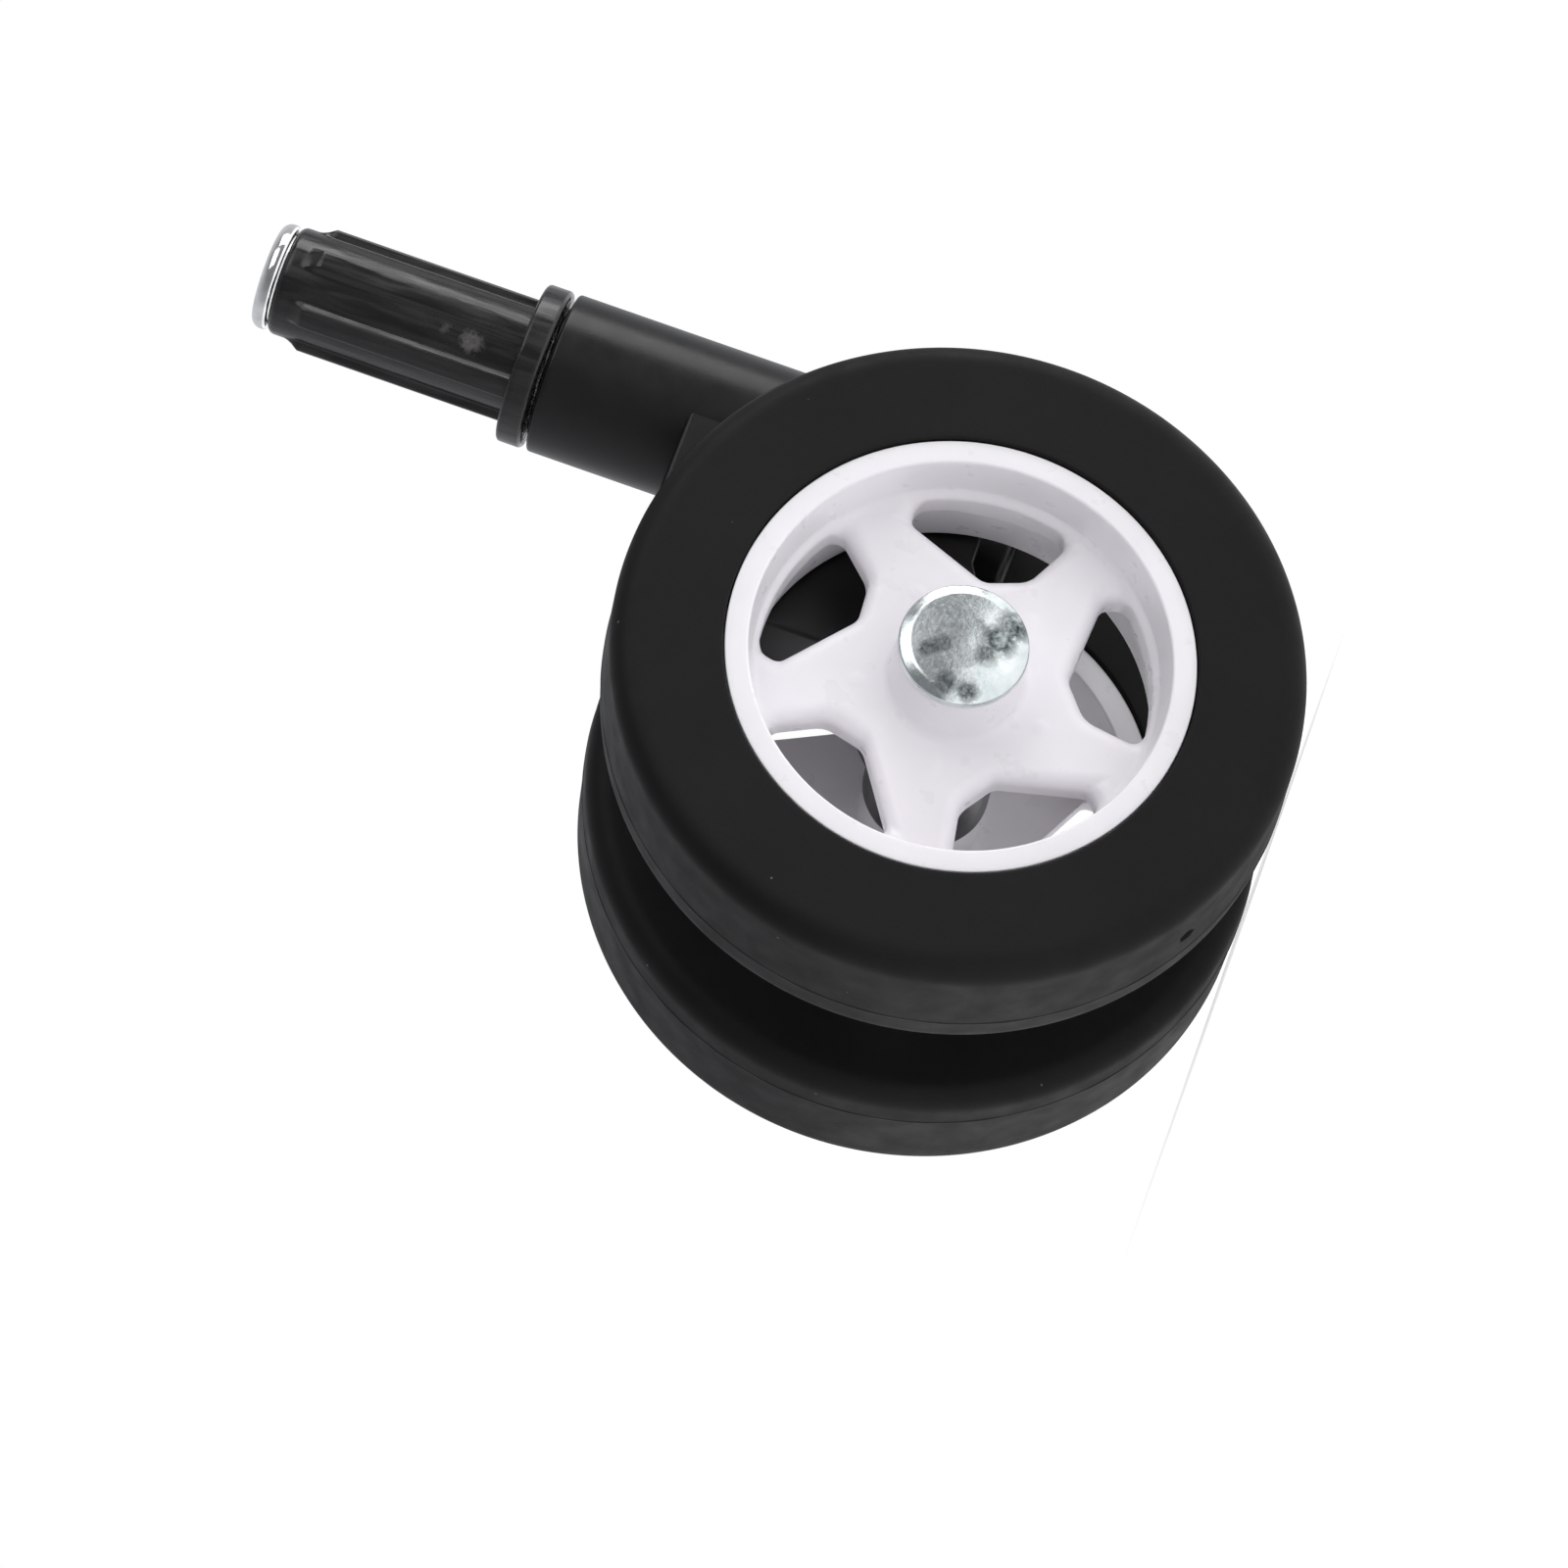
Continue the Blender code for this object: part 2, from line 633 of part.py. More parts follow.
def main():
    clear_scene()
    group = new_collection("chair_caster")
    cutters = new_collection("cutters")
    line = axle_line(group)
    black = satin_black_plastic()
    white = white_plastic()
    rubber = black_tread()
    zinc = zinc_plated_steel()

    socket_sleeve(group, cutters, glossy_black_plastic())
    swivel_pin(group, chromed_steel())
    flat_ring(
        "thrust_washer",
        THRUST_RADIUS,
        BARREL_BORE,
        THRUST_TOP,
        THRUST_THICKNESS,
        STEM_SEGMENTS,
        group,
        zinc,
    )
    fork_body(group, cutters, black)
    flat_ring(
        "pin_retaining_ring",
        RING_RADIUS,
        BARREL_BORE,
        RING_SEAT - SEAT_GAP,
        RING_THICKNESS,
        SHAFT_SEGMENTS,
        group,
        zinc,
    )
    axle(group, line, zinc)
    axle_cap(group, line, zinc)
    axle_washer("axle_washer_front", -1, group, line, zinc)
    axle_washer("axle_washer_rear", 1, group, line, zinc)
    hub("hub_front", -1, 1, FRONT_WINDOW_ANGLE, group, cutters, line, white)
    hub("hub_rear", 1, -1, REAR_WINDOW_ANGLE, group, cutters, line, white)
    tyre("tyre_front", -1, group, line, rubber)
    tyre("tyre_rear", 1, group, line, rubber)


main()
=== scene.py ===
"""Looks of a twin-wheel chair caster with a fluted push-in sleeve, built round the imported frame.

Metres, +Z up along the swivel axis. Stem pieces are turned about that axis. Wheel pieces are drawn in the
plane of the wheel, u forward and v up from the axle, with their depth measured along the axle from its
middle, and side -1 puts them on the front wheel and +1 on the rear one.
"""

import math

import bmesh
import bpy
import numpy as np
from mathutils import Euler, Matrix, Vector


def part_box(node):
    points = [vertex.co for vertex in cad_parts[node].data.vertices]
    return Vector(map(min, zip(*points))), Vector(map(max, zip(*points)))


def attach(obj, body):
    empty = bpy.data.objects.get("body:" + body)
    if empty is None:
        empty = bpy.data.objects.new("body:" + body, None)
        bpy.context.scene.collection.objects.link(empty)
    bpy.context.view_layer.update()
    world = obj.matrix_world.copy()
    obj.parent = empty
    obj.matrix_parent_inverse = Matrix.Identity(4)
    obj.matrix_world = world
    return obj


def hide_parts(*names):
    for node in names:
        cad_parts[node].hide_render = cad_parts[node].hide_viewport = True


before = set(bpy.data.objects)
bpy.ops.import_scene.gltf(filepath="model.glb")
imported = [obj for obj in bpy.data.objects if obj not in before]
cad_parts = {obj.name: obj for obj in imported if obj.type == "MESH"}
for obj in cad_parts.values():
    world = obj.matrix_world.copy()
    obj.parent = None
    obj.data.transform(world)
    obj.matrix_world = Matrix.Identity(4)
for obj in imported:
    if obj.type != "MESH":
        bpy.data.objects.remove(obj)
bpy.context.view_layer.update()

MM = 0.001

# Sizes read from the frame.
tyre_low, tyre_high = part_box("tyre_front")
hub_low, hub_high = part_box("hub_front")
head_low, head_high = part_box("axle")
washer_low, washer_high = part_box("axle_washer_rear")
sleeve_low, sleeve_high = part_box("socket_sleeve")
pin_low, pin_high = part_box("swivel_pin")
thrust_low, thrust_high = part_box("thrust_washer")
ring_low, ring_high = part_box("pin_retaining_ring")
fork_low, fork_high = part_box("fork_body")

AXLE_X = (tyre_low.x + tyre_high.x) / 2
AXLE_Z = (tyre_low.z + tyre_high.z) / 2
WHEEL_RADIUS = (tyre_high.x - tyre_low.x) / 2
TYRE_OUTER = -tyre_low.y
TYRE_INNER = -tyre_high.y
HUB_INNER = -hub_high.y
HUB_TOP = -hub_low.y
KEY_RADIUS = (hub_high.x - hub_low.x) / 2
HEAD_RADIUS = (head_high.x - head_low.x) / 2
HEAD_TOP = -head_low.y
AXLE_END = head_high.y
WASHER_RADIUS = (washer_high.x - washer_low.x) / 2
WASHER_INNER_END = washer_low.y
WASHER_OUTER_END = washer_high.y
COLLAR_RADIUS = sleeve_high.x
COLLAR_BOTTOM = sleeve_low.z
SLEEVE_TOP = sleeve_high.z
PIN_HEAD_RADIUS = (pin_high.x - pin_low.x) / 2
PIN_TOP = pin_high.z
PIN_BOTTOM = pin_low.z
BARREL_RADIUS = fork_high.x
BARREL_TOP = fork_high.z
BOSS_HALF_LENGTH = fork_high.y
FLOOR_LEVEL = tyre_low.z

# Clearances: between fixed pieces, at the ends of turning pieces, and round a turning shaft.
SEAT_GAP = 0.3 * MM
END_PLAY = 0.15 * MM
RUNNING_GAP = 0.1 * MM

# Hub. Levels are from the middle of the axle.
HUB_INSET = 0.3 * MM
KEY_HEIGHT = 1.0 * MM
KEY_WIDTH = 4.0 * MM
WHEEL_MIDDLE = (TYRE_OUTER + TYRE_INNER) / 2
HUB_RADIUS = KEY_RADIUS - KEY_HEIGHT
HUB_FACE = TYRE_OUTER - HUB_INSET
HUB_FACE_STEP = 0.05 * MM
RIM_WALL = 2.05 * MM
RIM_DRAFT = 0.65 * MM
RIM_EDGE = 0.25 * MM
RIM_INNER_RADIUS = HUB_RADIUS - RIM_WALL
WEB_RADIUS = RIM_INNER_RADIUS - RIM_DRAFT
RIM_FACE_RADIUS = RIM_INNER_RADIUS + 1 * MM
RIM_BACK_RADIUS = RIM_INNER_RADIUS - 0.2 * MM
WEB_DEPTH = 7.5 * MM
WEB_THICKNESS = 2.8 * MM
WEB_BACK = HUB_FACE - WEB_DEPTH
WEB_FRONT = WEB_BACK + WEB_THICKNESS
WEB_FILLET = 0.9 * MM
WEB_JOIN_RADIUS = WEB_RADIUS + 0.1 * MM
WEB_START_RADIUS = 6.9 * MM
BOSS_TOP_RADIUS = HEAD_RADIUS - 0.15 * MM
BOSS_FOOT_RADIUS = HEAD_RADIUS + 0.25 * MM
BOSS_EDGE = 0.3 * MM
BOSS_FILLET = 0.8 * MM
WINDOW_REACH = WEB_RADIUS - 0.5 * MM
BACK_WEB_RADIUS = WINDOW_REACH + RUNNING_GAP
BACK_WEB_EDGE = 0.1 * MM
TUBE_RADIUS = 5.2 * MM
TUBE_DRAFT = 0.2 * MM
AXLE_RADIUS = 3.0 * MM
HUB_BORE = AXLE_RADIUS + RUNNING_GAP

# Windows of the hub's web.
WINDOW_COUNT = 5
SECTOR = 2 * math.pi / WINDOW_COUNT
FRONT_WINDOW_ANGLE = math.radians(5)
REAR_WINDOW_ANGLE = math.radians(54)
SECTOR_START = math.radians(-35)
SPOKE_ANGLE = math.radians(36)
WINDOW_CENTRE = np.array([13, 0]) * MM
WINDOW_ROLL = 1.4 * MM
ROLL_LIMIT = 0.92
SLOPE_STEP = math.radians(1.5)
WINDOW_BACK_EDGE = 0.12 * MM
WINDOW_STEP = 0.1 * MM
MARK_RADIUS = 0.7 * MM
MARK_HEIGHT = 0.08 * MM
MARK_PLACE = 8.5 * MM

# Outline of a window, u along its centre line and v across it, with the radius of each corner, in mm.
# The side by the rim is an arc between two angles in degrees.
WINDOW_ARC = (-19, 18)
WINDOW_CORNERS = (
    (15.6, 7.0, 1.5),
    (13.45, 7.0, 1.0),
    (9.85, -0.3, 1.6),
    (10.95, -4.0, 2.4),
    (15.5, -6.75, 1.2),
)

# Tyre.
TYRE_SHOULDER = 2.2 * MM
TYRE_BORE = HUB_RADIUS + 0.08 * MM
TYRE_BORE_EDGE = 0.25 * MM
TREAD_DRAFT = 0.15 * MM
PARTING_LEVEL = TYRE_OUTER - 0.7 * (TYRE_OUTER - TYRE_INNER)
PARTING_WIDTH = 0.22 * MM
PARTING_HEIGHT = 0.07 * MM
GATE_ANGLE = math.radians(-125)
GATE_LEVEL = 14.7 * MM
GATE_RADIUS = 0.85 * MM
GATE_DEPTH = 0.6 * MM
GATE_FLOOR = 0.6 * GATE_RADIUS
STUB_TOP = 0.2 * GATE_RADIUS
STUB_FOOT = 0.4 * GATE_RADIUS
STUB_HEIGHT = 0.6 * GATE_DEPTH
KEY_SIDE_GAP = 0.3 * MM
KEY_TOP_GAP = 0.2 * MM

# Heads of the axle and its cap, and the washers. The head's corners are given by their share of its
# radius, and by their drop below its top and their own radius in mm.
HEAD_CORNERS = (
    (0.45, 0.07, 4),
    (0.84, 0.3, 1.2),
    (1, 0.75, 0.3),
)
HEAD_EDGE = 0.15 * MM
CAP_SKIN = 0.7 * MM
SHAFT_EDGE = 0.3 * MM
WASHER_EDGE = 0.12 * MM

# Sleeve.
SLEEVE_RADIUS = 4.95 * MM
SLEEVE_BORE = 4.1 * MM
SLEEVE_EDGE = 0.7 * MM
SLEEVE_FOOT = 0.15 * MM
BORE_EDGE = 0.1 * MM
COLLAR_EDGE = 0.4 * MM
RIB_COUNT = 6
RIB_ANGLE = math.radians(33)
RIB_WIDTH = 2.0 * MM
RIB_HEIGHT = 0.7 * MM
RIB_SOFTNESS = 0.28 * MM
RIB_END = SLEEVE_TOP - 1.7 * MM
RIB_END_SLOPE = 1.2 * MM
RIB_END_FADE = 0.6

# Pin and its retaining ring.
PIN_RADIUS = 4.0 * MM
PIN_HEAD_BOTTOM = SLEEVE_TOP + END_PLAY
PIN_GROOVE_DEPTH = 0.35 * MM
PIN_GROOVE_PLAY = 0.05 * MM
PIN_TAIL_EDGE = 0.4 * MM
RING_BORE = PIN_RADIUS - 0.3 * MM
RING_EDGE = 0.1 * MM
RING_SLOT = math.radians(22)

# Fork.
BARREL_SKIRT = 1.9 * MM
BARREL_BOTTOM = ring_high.z - BARREL_SKIRT
RING_SEAT = ring_high.z + SEAT_GAP
RING_RECESS = ring_high.x + SEAT_GAP
BARREL_BORE = 4.3 * MM
BARREL_EDGE = 0.3 * MM
BARREL_MOUTH = 0.5 * MM
RECESS_EDGE = 0.2 * MM
BLOCK_HALF_WIDTH = BOSS_HALF_LENGTH - 0.5 * MM
BLOCK_TOP = AXLE_Z + 30.3 * MM
BLOCK_SET_BACK = 3.5 * MM
BLOCK_BACK = AXLE_X + BLOCK_SET_BACK
BLOCK_LOW = RING_SEAT + 0.4 * MM
BLOCK_EDGE = 0.45 * MM
BLOCK_FILLET = 4 * MM
BOSS_RADIUS = 5.6 * MM
BLOCK_FRONT_CORNER = (0.35 * BOSS_RADIUS, -0.92 * BOSS_RADIUS)
BLOCK_BACK_CORNER = (-0.1 * BOSS_RADIUS, 0.95 * BOSS_RADIUS)
TYRE_CLEARANCE = 1.5 * MM
SWEEP_START = WHEEL_RADIUS + TYRE_CLEARANCE - 0.2 * MM
SWEEP_END = WHEEL_RADIUS + TYRE_CLEARANCE + 0.4 * MM

# Fineness of the surfaces.
LONGEST_STEP = 0.5 * MM
ARC_STEPS = 9
TYRE_COLUMNS = 360
FINE_REACH = 2
FINE_STEP = 0.12
STEM_COLUMNS = 192
SMALL_COLUMNS = 96
RIM_COLUMNS = 48
CENTRE_COLUMNS = 24
SIDE_COLUMNS = 40
ROLL_ROWS = 9
FRONT_ROWS = 20
WALL_ROWS = 8
BACK_ROWS = 16
FLANK_COLUMNS = 11
CREST_COLUMNS = 9
VALLEY_COLUMNS = 12
STEM_STEP = 0.3 * MM
BARREL_STEP = 0.35 * MM
SHARP_ANGLE = math.radians(40)
WELD = 0.001 * MM

# Camera, floor and lights.
CAMERA_PLACE = Vector((-324.6, -645.8, -71.6)) * MM
CAMERA_TURN = (98.88, 70.46, -16.12)
CAMERA_LENS = 188.0
CAMERA_SENSOR = 36
CAMERA_NEAR = 10 * MM
LOOK_AT = Vector((-12, 0, -32)) * MM
FLOOR_REACH = 3.0
FLOOR_GAP = 0.05 * MM
FRONT_GLOW = 0.24
BACK_GLOW = 0.7


# ---------------------------------------------------------------- lines and surfaces


def unit(vector):
    """The vector at length 1."""
    return vector / np.linalg.norm(vector)


def rounded_line(corners, closed=False):
    """Line through corners (u, v, radius). A corner with a radius becomes an arc touching both its sides."""
    corners = np.asarray(corners, float)
    share = np.linspace(0, 1, ARC_STEPS + 1)[:, None]
    stretches = []
    for index, (u, v, radius) in enumerate(corners):
        corner = np.array([u, v])
        if radius == 0:
            stretches.append(corner[None])
            continue
        before = unit(corners[index - 1, :2] - corner)
        after = unit(corners[(index + 1) % len(corners), :2] - corner)
        half = math.acos(before @ after) / 2
        centre = corner + unit(before + after) * radius / math.sin(half)
        swing = math.pi - 2 * half
        start = corner + before * radius / math.tan(half) - centre
        end = corner + after * radius / math.tan(half) - centre
        arc = (np.sin((1 - share) * swing) * start + np.sin(share * swing) * end) / math.sin(swing)
        stretches.append(centre + arc)
    line = np.concatenate(stretches)
    return np.concatenate([line, line[:1]]) if closed else line


def subdivided(line, longest=LONGEST_STEP):
    """The same line with points added evenly, so that no step is longer than the longest one allowed."""
    lengths = np.linalg.norm(np.diff(line, axis=0), axis=1)
    pieces = np.maximum(1, np.ceil(lengths / longest)).astype(int)
    index = np.repeat(np.arange(len(pieces)), pieces)
    first = np.repeat(np.cumsum(pieces) - pieces, pieces)
    share = ((np.arange(len(index)) - first) / pieces[index])[:, None]
    inner = line[index] * (1 - share) + line[index + 1] * share
    return np.concatenate([inner, line[-1:]])


def full_turn(columns, start=0.0):
    """Evenly spaced angles round a full turn, with the first one repeated at the end."""
    return start + np.linspace(0, 2 * math.pi, columns + 1)


def turned(line, angles):
    """Grid of a line (radius, level) turned about the Z axis: x = radius cos angle, y = radius sin angle."""
    radius, level = line[:, :1], line[:, 1:]
    return np.stack([radius * np.cos(angles), radius * np.sin(angles), level + 0 * angles], axis=-1)


def on_axle(grid, side):
    """Moves a grid turned about Z onto the axle, its levels pointing outwards on the given side."""
    return np.stack([AXLE_X + grid[..., 0], side * grid[..., 2], AXLE_Z + grid[..., 1]], axis=-1)


def smooth_step(low, high, value):
    """0 below low, 1 above high, and 3t^2 - 2t^3 between them."""
    t = np.clip((value - low) / (high - low), 0, 1)
    return t * t * (3 - 2 * t)


def skin(name, *grids):
    """One mesh of quads over each grid of points, welded along shared edges, seams and poles."""
    quads = []
    first = 0
    for grid in grids:
        rows, columns = grid.shape[:2]
        index = first + np.arange(rows * columns).reshape(rows, columns)
        corners = [index[:-1, :-1], index[1:, :-1], index[1:, 1:], index[:-1, 1:]]
        quads.append(np.stack(corners, axis=-1).reshape(-1, 4))
        first += rows * columns
    mesh = bpy.data.meshes.new(name)
    points = np.concatenate([grid.reshape(-1, 3) for grid in grids])
    mesh.from_pydata(points, [], np.concatenate(quads))
    shape = bmesh.new()
    shape.from_mesh(mesh)
    bmesh.ops.remove_doubles(shape, verts=shape.verts, dist=WELD)
    bmesh.ops.recalc_face_normals(shape, faces=shape.faces)
    shape.to_mesh(mesh)
    shape.free()
    mesh.shade_smooth()
    mesh.set_sharp_from_angle(angle=SHARP_ANGLE)
    return mesh


def piece(name, mesh, material, body, slot, *nodes):
    """Puts a finished mesh in the scene, on its body, in place of its nodes."""
    obj = bpy.data.objects.new(name, mesh)
    bpy.context.scene.collection.objects.link(obj)
    mesh.materials.append(material)
    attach(obj, body)
    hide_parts(*nodes)


# ---------------------------------------------------------------- materials


def linear(code):
    """Linear RGBA of an sRGB hex colour."""
    srgb = np.array([int(code[i : i + 2], 16) for i in (1, 3, 5)]) / 255
    rgb = np.where(srgb <= 0.04045, srgb / 12.92, ((srgb + 0.055) / 1.055) ** 2.4)
    return (*rgb.tolist(), 1.0)


def add(tree, kind, inputs=None, **settings):
    """Adds a node, sets its properties, and gives each of its inputs a value or the socket that feeds it."""
    made = tree.nodes.new("ShaderNode" + kind)
    for name, value in settings.items():
        setattr(made, name, value)
    for name, value in (inputs or {}).items():
        if isinstance(value, bpy.types.NodeSocket):
            tree.links.new(value, made.inputs[name])
        else:
            made.inputs[name].default_value = value
    return made


def new_material(name):
    """A material with a shader alone, its tree, and the socket of the position on the part."""
    material = bpy.data.materials.new(name)
    material.use_nodes = True
    tree = material.node_tree
    tree.nodes.clear()
    shader = add(tree, "BsdfPrincipled")
    add(tree, "OutputMaterial", {"Surface": shader.outputs["BSDF"]})
    return material, tree, shader, add(tree, "TexCoord").outputs["Object"]


def noise(tree, place, size, detail=3.0, roughness=0.5, distortion=0.0):
    """Noise whose cells are about the given size in metres."""
    inputs = {"Vector": place, "Scale": 1 / size, "Detail": detail, "Roughness": roughness}
    return add(tree, "TexNoise", {**inputs, "Distortion": distortion}).outputs["Fac"]


def in_range(tree, value, low, high, to_low=0.0, to_high=1.0):
    """The value carried from the range low to high onto the range to_low to to_high, and held at its ends."""
    inputs = {"Value": value, "From Min": low, "From Max": high, "To Min": to_low, "To Max": to_high}
    return add(tree, "MapRange", inputs).outputs["Result"]


def blend(tree, factor, first, second):
    """Colour going from the first (a hex code or a socket) to the second as the factor goes from 0 to 1."""
    first, second = (linear(colour) if isinstance(colour, str) else colour for colour in (first, second))
    return add(tree, "MixRGB", {"Fac": factor, "Color1": first, "Color2": second}).outputs["Color"]


def arithmetic(tree, operation, *values):
    """Result of a maths operation on values or sockets."""
    return add(tree, "Math", dict(enumerate(values)), operation=operation).outputs["Value"]


def bump(tree, height, depth, under=None):
    """Normal of a surface that rises by the given depth in metres where height goes from 0 to 1."""
    inputs = {"Height": height, "Distance": depth}
    if under:
        inputs["Normal"] = under
    return add(tree, "Bump", inputs).outputs["Normal"]


def stretched(tree, place, scale):
    """The position with each axis scaled, so that a pattern on it is drawn out along the small ones."""
    return add(tree, "Mapping", {"Vector": place, "Scale": scale}).outputs["Vector"]


def specks(tree, place, spacing, radius):
    """1 inside small dots scattered about one spacing apart, 0 outside."""
    distance = add(tree, "TexVoronoi", {"Vector": place, "Scale": 1 / spacing}).outputs["Distance"]
    return in_range(tree, distance, radius / spacing, 0.5 * radius / spacing)


def feed(tree, shader, **inputs):
    """Sets the shader's inputs, named in lower case with underscores, to values or sockets."""
    names = {socket.name.lower().replace(" ", "_"): socket.name for socket in shader.inputs}
    for name, value in inputs.items():
        if isinstance(value, bpy.types.NodeSocket):
            tree.links.new(value, shader.inputs[names[name]])
        else:
            shader.inputs[names[name]].default_value = value


def white_polypropylene():
    """Injection-moulded white polypropylene: glossy with a soft waver, a little light passes into it."""
    material, tree, shader, place = new_material("moulded_white_polypropylene")
    patches = in_range(tree, noise(tree, place, 9 * MM, detail=2), 0.35, 0.65)
    haze = in_range(tree, noise(tree, place, 2.5 * MM), 0.3, 0.7, 0.26, 0.36)
    feed(
        tree,
        shader,
        base_color=blend(tree, patches, "#EAE7EB", "#EFECF0"),
        roughness=haze,
        ior=1.49,
        subsurface_weight=0.25,
        subsurface_radius=(1.0, 0.8, 0.9),
        subsurface_scale=1.2 * MM,
        normal=bump(tree, noise(tree, place, 4 * MM, detail=1), 0.03 * MM),
    )
    return material


def tyre_elastomer():
    """Moulded thermoplastic elastomer: grey-black, nearly matt, with fine grain and a few dust specks."""
    material, tree, shader, place = new_material("moulded_black_elastomer")
    patches = in_range(tree, noise(tree, place, 12 * MM, detail=4), 0.3, 0.7)
    dust = arithmetic(tree, "MULTIPLY", specks(tree, place, 5.5 * MM, 0.14 * MM), 0.35)
    feed(
        tree,
        shader,
        base_color=blend(tree, dust, blend(tree, patches, "#0C0C0C", "#111111"), "#8A8A86"),
        roughness=in_range(tree, noise(tree, place, 3 * MM), 0.3, 0.7, 0.5, 0.62),
        specular_ior_level=0.17,
        normal=bump(tree, noise(tree, place, 0.18 * MM, detail=2), 0.012 * MM),
    )
    return material


def satin_nylon():
    """Moulded black nylon with a satin skin: soft broad highlights and a very fine grain."""
    material, tree, shader, place = new_material("moulded_satin_black_nylon")
    patches = in_range(tree, noise(tree, place, 8 * MM), 0.3, 0.7)
    feed(
        tree,
        shader,
        base_color=blend(tree, patches, "#08080A", "#0C0C0D"),
        specular_ior_level=0.36,
        roughness=in_range(tree, noise(tree, place, 2 * MM), 0.3, 0.7, 0.28, 0.34),
        normal=bump(tree, noise(tree, place, 0.25 * MM, detail=2), 0.006 * MM),
    )
    return material


def glossy_nylon():
    """Moulded black nylon as it left the tool: glossy, with flow lines along the sleeve and two scuffs."""
    material, tree, shader, place = new_material("moulded_glossy_black_nylon")
    flow = noise(tree, stretched(tree, place, (1, 1, 0.12)), 0.9 * MM, distortion=0.6)
    scuff = scuffs_and_painted_reflections(tree, place, 0.6 * MM, (-2.3, -5.0, 4.4, 1.1, 0.7), (-1.9, -5.2, 6.9, 0.7, 0.5))
    moulded = blend(tree, in_range(tree, flow, 0.3, 0.7), "#121112", "#1C1B1C")
    haze = in_range(tree, flow, 0.35, 0.65, 0.16, 0.34)
    waver = noise(tree, stretched(tree, place, (1, 1, 0.25)), 1.5 * MM, detail=2)
    feed(
        tree,
        shader,
        base_color=blend(tree, scuff, moulded, "#6E6A6A"),
        roughness=arithmetic(tree, "MULTIPLY_ADD", scuff, 0.3, haze),
        normal=bump(tree, scuff, -0.04 * MM, under=bump(tree, waver, 0.09 * MM)),
    )
    return material


def scuffs_and_painted_reflections(tree, place, grain, *spots):
    """Ragged marks, frayed at the grain's size: real scuffs on the sleeve, and dark reflections painted on
    the axle's head. Each spot is a centre and a radius in mm, and a strength.

    A mark covers the points whose distance from its centre, plus up to twice its radius of noise, is small
    enough, and the noise also thins it inside.
    """
    frayed = noise(tree, place, grain, detail=4, roughness=0.7)
    marks = []
    for *spot, radius, strength in spots:
        centre = [-value * MM for value in spot]
        offset = add(tree, "VectorMath", {0: place, 1: centre}, operation="ADD").outputs["Vector"]
        away = add(tree, "VectorMath", {0: offset}, operation="LENGTH").outputs["Value"]
        ragged = arithmetic(tree, "MULTIPLY_ADD", frayed, 2 * radius * MM, away)
        mark = in_range(tree, ragged, 2.15 * radius * MM, 1.7 * radius * MM, 0, strength)
        marks.append(arithmetic(tree, "MULTIPLY", mark, in_range(tree, frayed, 0.35, 0.6, 0.35, 1.0)))
    total = marks[0]
    for mark in marks[1:]:
        total = arithmetic(tree, "MAXIMUM", total, mark)
    return total


def chrome_plate():
    """Bright nickel-chrome plate on turned steel: mirror-like with a slight waver."""
    material, tree, shader, place = new_material("bright_chrome_plate")
    haze = noise(tree, place, 1.2 * MM)
    feed(
        tree,
        shader,
        base_color=blend(tree, in_range(tree, haze, 0.35, 0.65), "#D9DADA", "#ECECEC"),
        metallic=1.0,
        roughness=in_range(tree, haze, 0.3, 0.7, 0.07, 0.16),
        normal=bump(tree, noise(tree, place, 0.8 * MM), 0.01 * MM),
    )
    return material


def zinc_plate():
    """Zinc plate on pressed steel: pale cool grey, clouded, with dark reflections painted into the colour of
    the axle's head.
    """
    material, tree, shader, place = new_material("clouded_zinc_plate")
    clouds = noise(tree, place, 3.2 * MM, detail=5, roughness=0.65, distortion=0.4)
    grains = noise(tree, place, 0.35 * MM, roughness=0.7)
    # Dark reflections painted on the axle's head: centre u and v from the axle in mm, radius in mm, and
    # strength.
    dark_reflection_spots = (
        (3.0, -3.6, 1.7, 1.0),
        (1.2, -2.8, 1.6, 1.0),
        (-0.5, -2.1, 1.1, 0.8),
        (-4.4, -1.7, 1.1, 1.0),
        (-4.1, 0.3, 1.0, 0.8),
        (-1.8, 2.9, 0.7, 0.9),
        (-1.3, 2.2, 0.7, 0.9),
        (-0.8, 1.6, 0.7, 0.8),
    )
    x, y, z = AXLE_X / MM, -HEAD_TOP / MM, AXLE_Z / MM
    spots = [(x + u, y, z + v, radius, strength) for u, v, radius, strength in dark_reflection_spots]
    # Mask of the dark reflections painted into the head's colour.
    painted_dark_reflection = scuffs_and_painted_reflections(tree, place, 1.1 * MM, *spots)
    pale = blend(tree, in_range(tree, clouds, 0.35, 0.65), "#C6CFD0", "#E2E6E6")
    feed(
        tree,
        shader,
        base_color=blend(tree, painted_dark_reflection, pale, "#2E3838"),
        metallic=1.0,
        roughness=in_range(tree, grains, 0.3, 0.7, 0.16, 0.28),
        normal=bump(tree, grains, 0.006 * MM, under=bump(tree, clouds, 0.04 * MM)),
    )
    return material


def greased_steel():
    """Steel with painted shade: its colour is kept dark to stand in for the shade in the gaps round the
    thrust washer and the snap ring, and its tone and roughness waver a little.
    """
    material, tree, shader, place = new_material("greased_steel")
    # Painted shade: a dark steel colour standing in for the shade round the rings.
    shade_tone_waver = in_range(tree, noise(tree, place, 0.8 * MM), 0.3, 0.7)
    feed(
        tree,
        shader,
        base_color=blend(tree, shade_tone_waver, "#1E1D1C", "#343332"),
        metallic=1.0,
        roughness=in_range(tree, shade_tone_waver, 0, 1, 0.3, 0.45),
    )
    return material


# ---------------------------------------------------------------- tyres


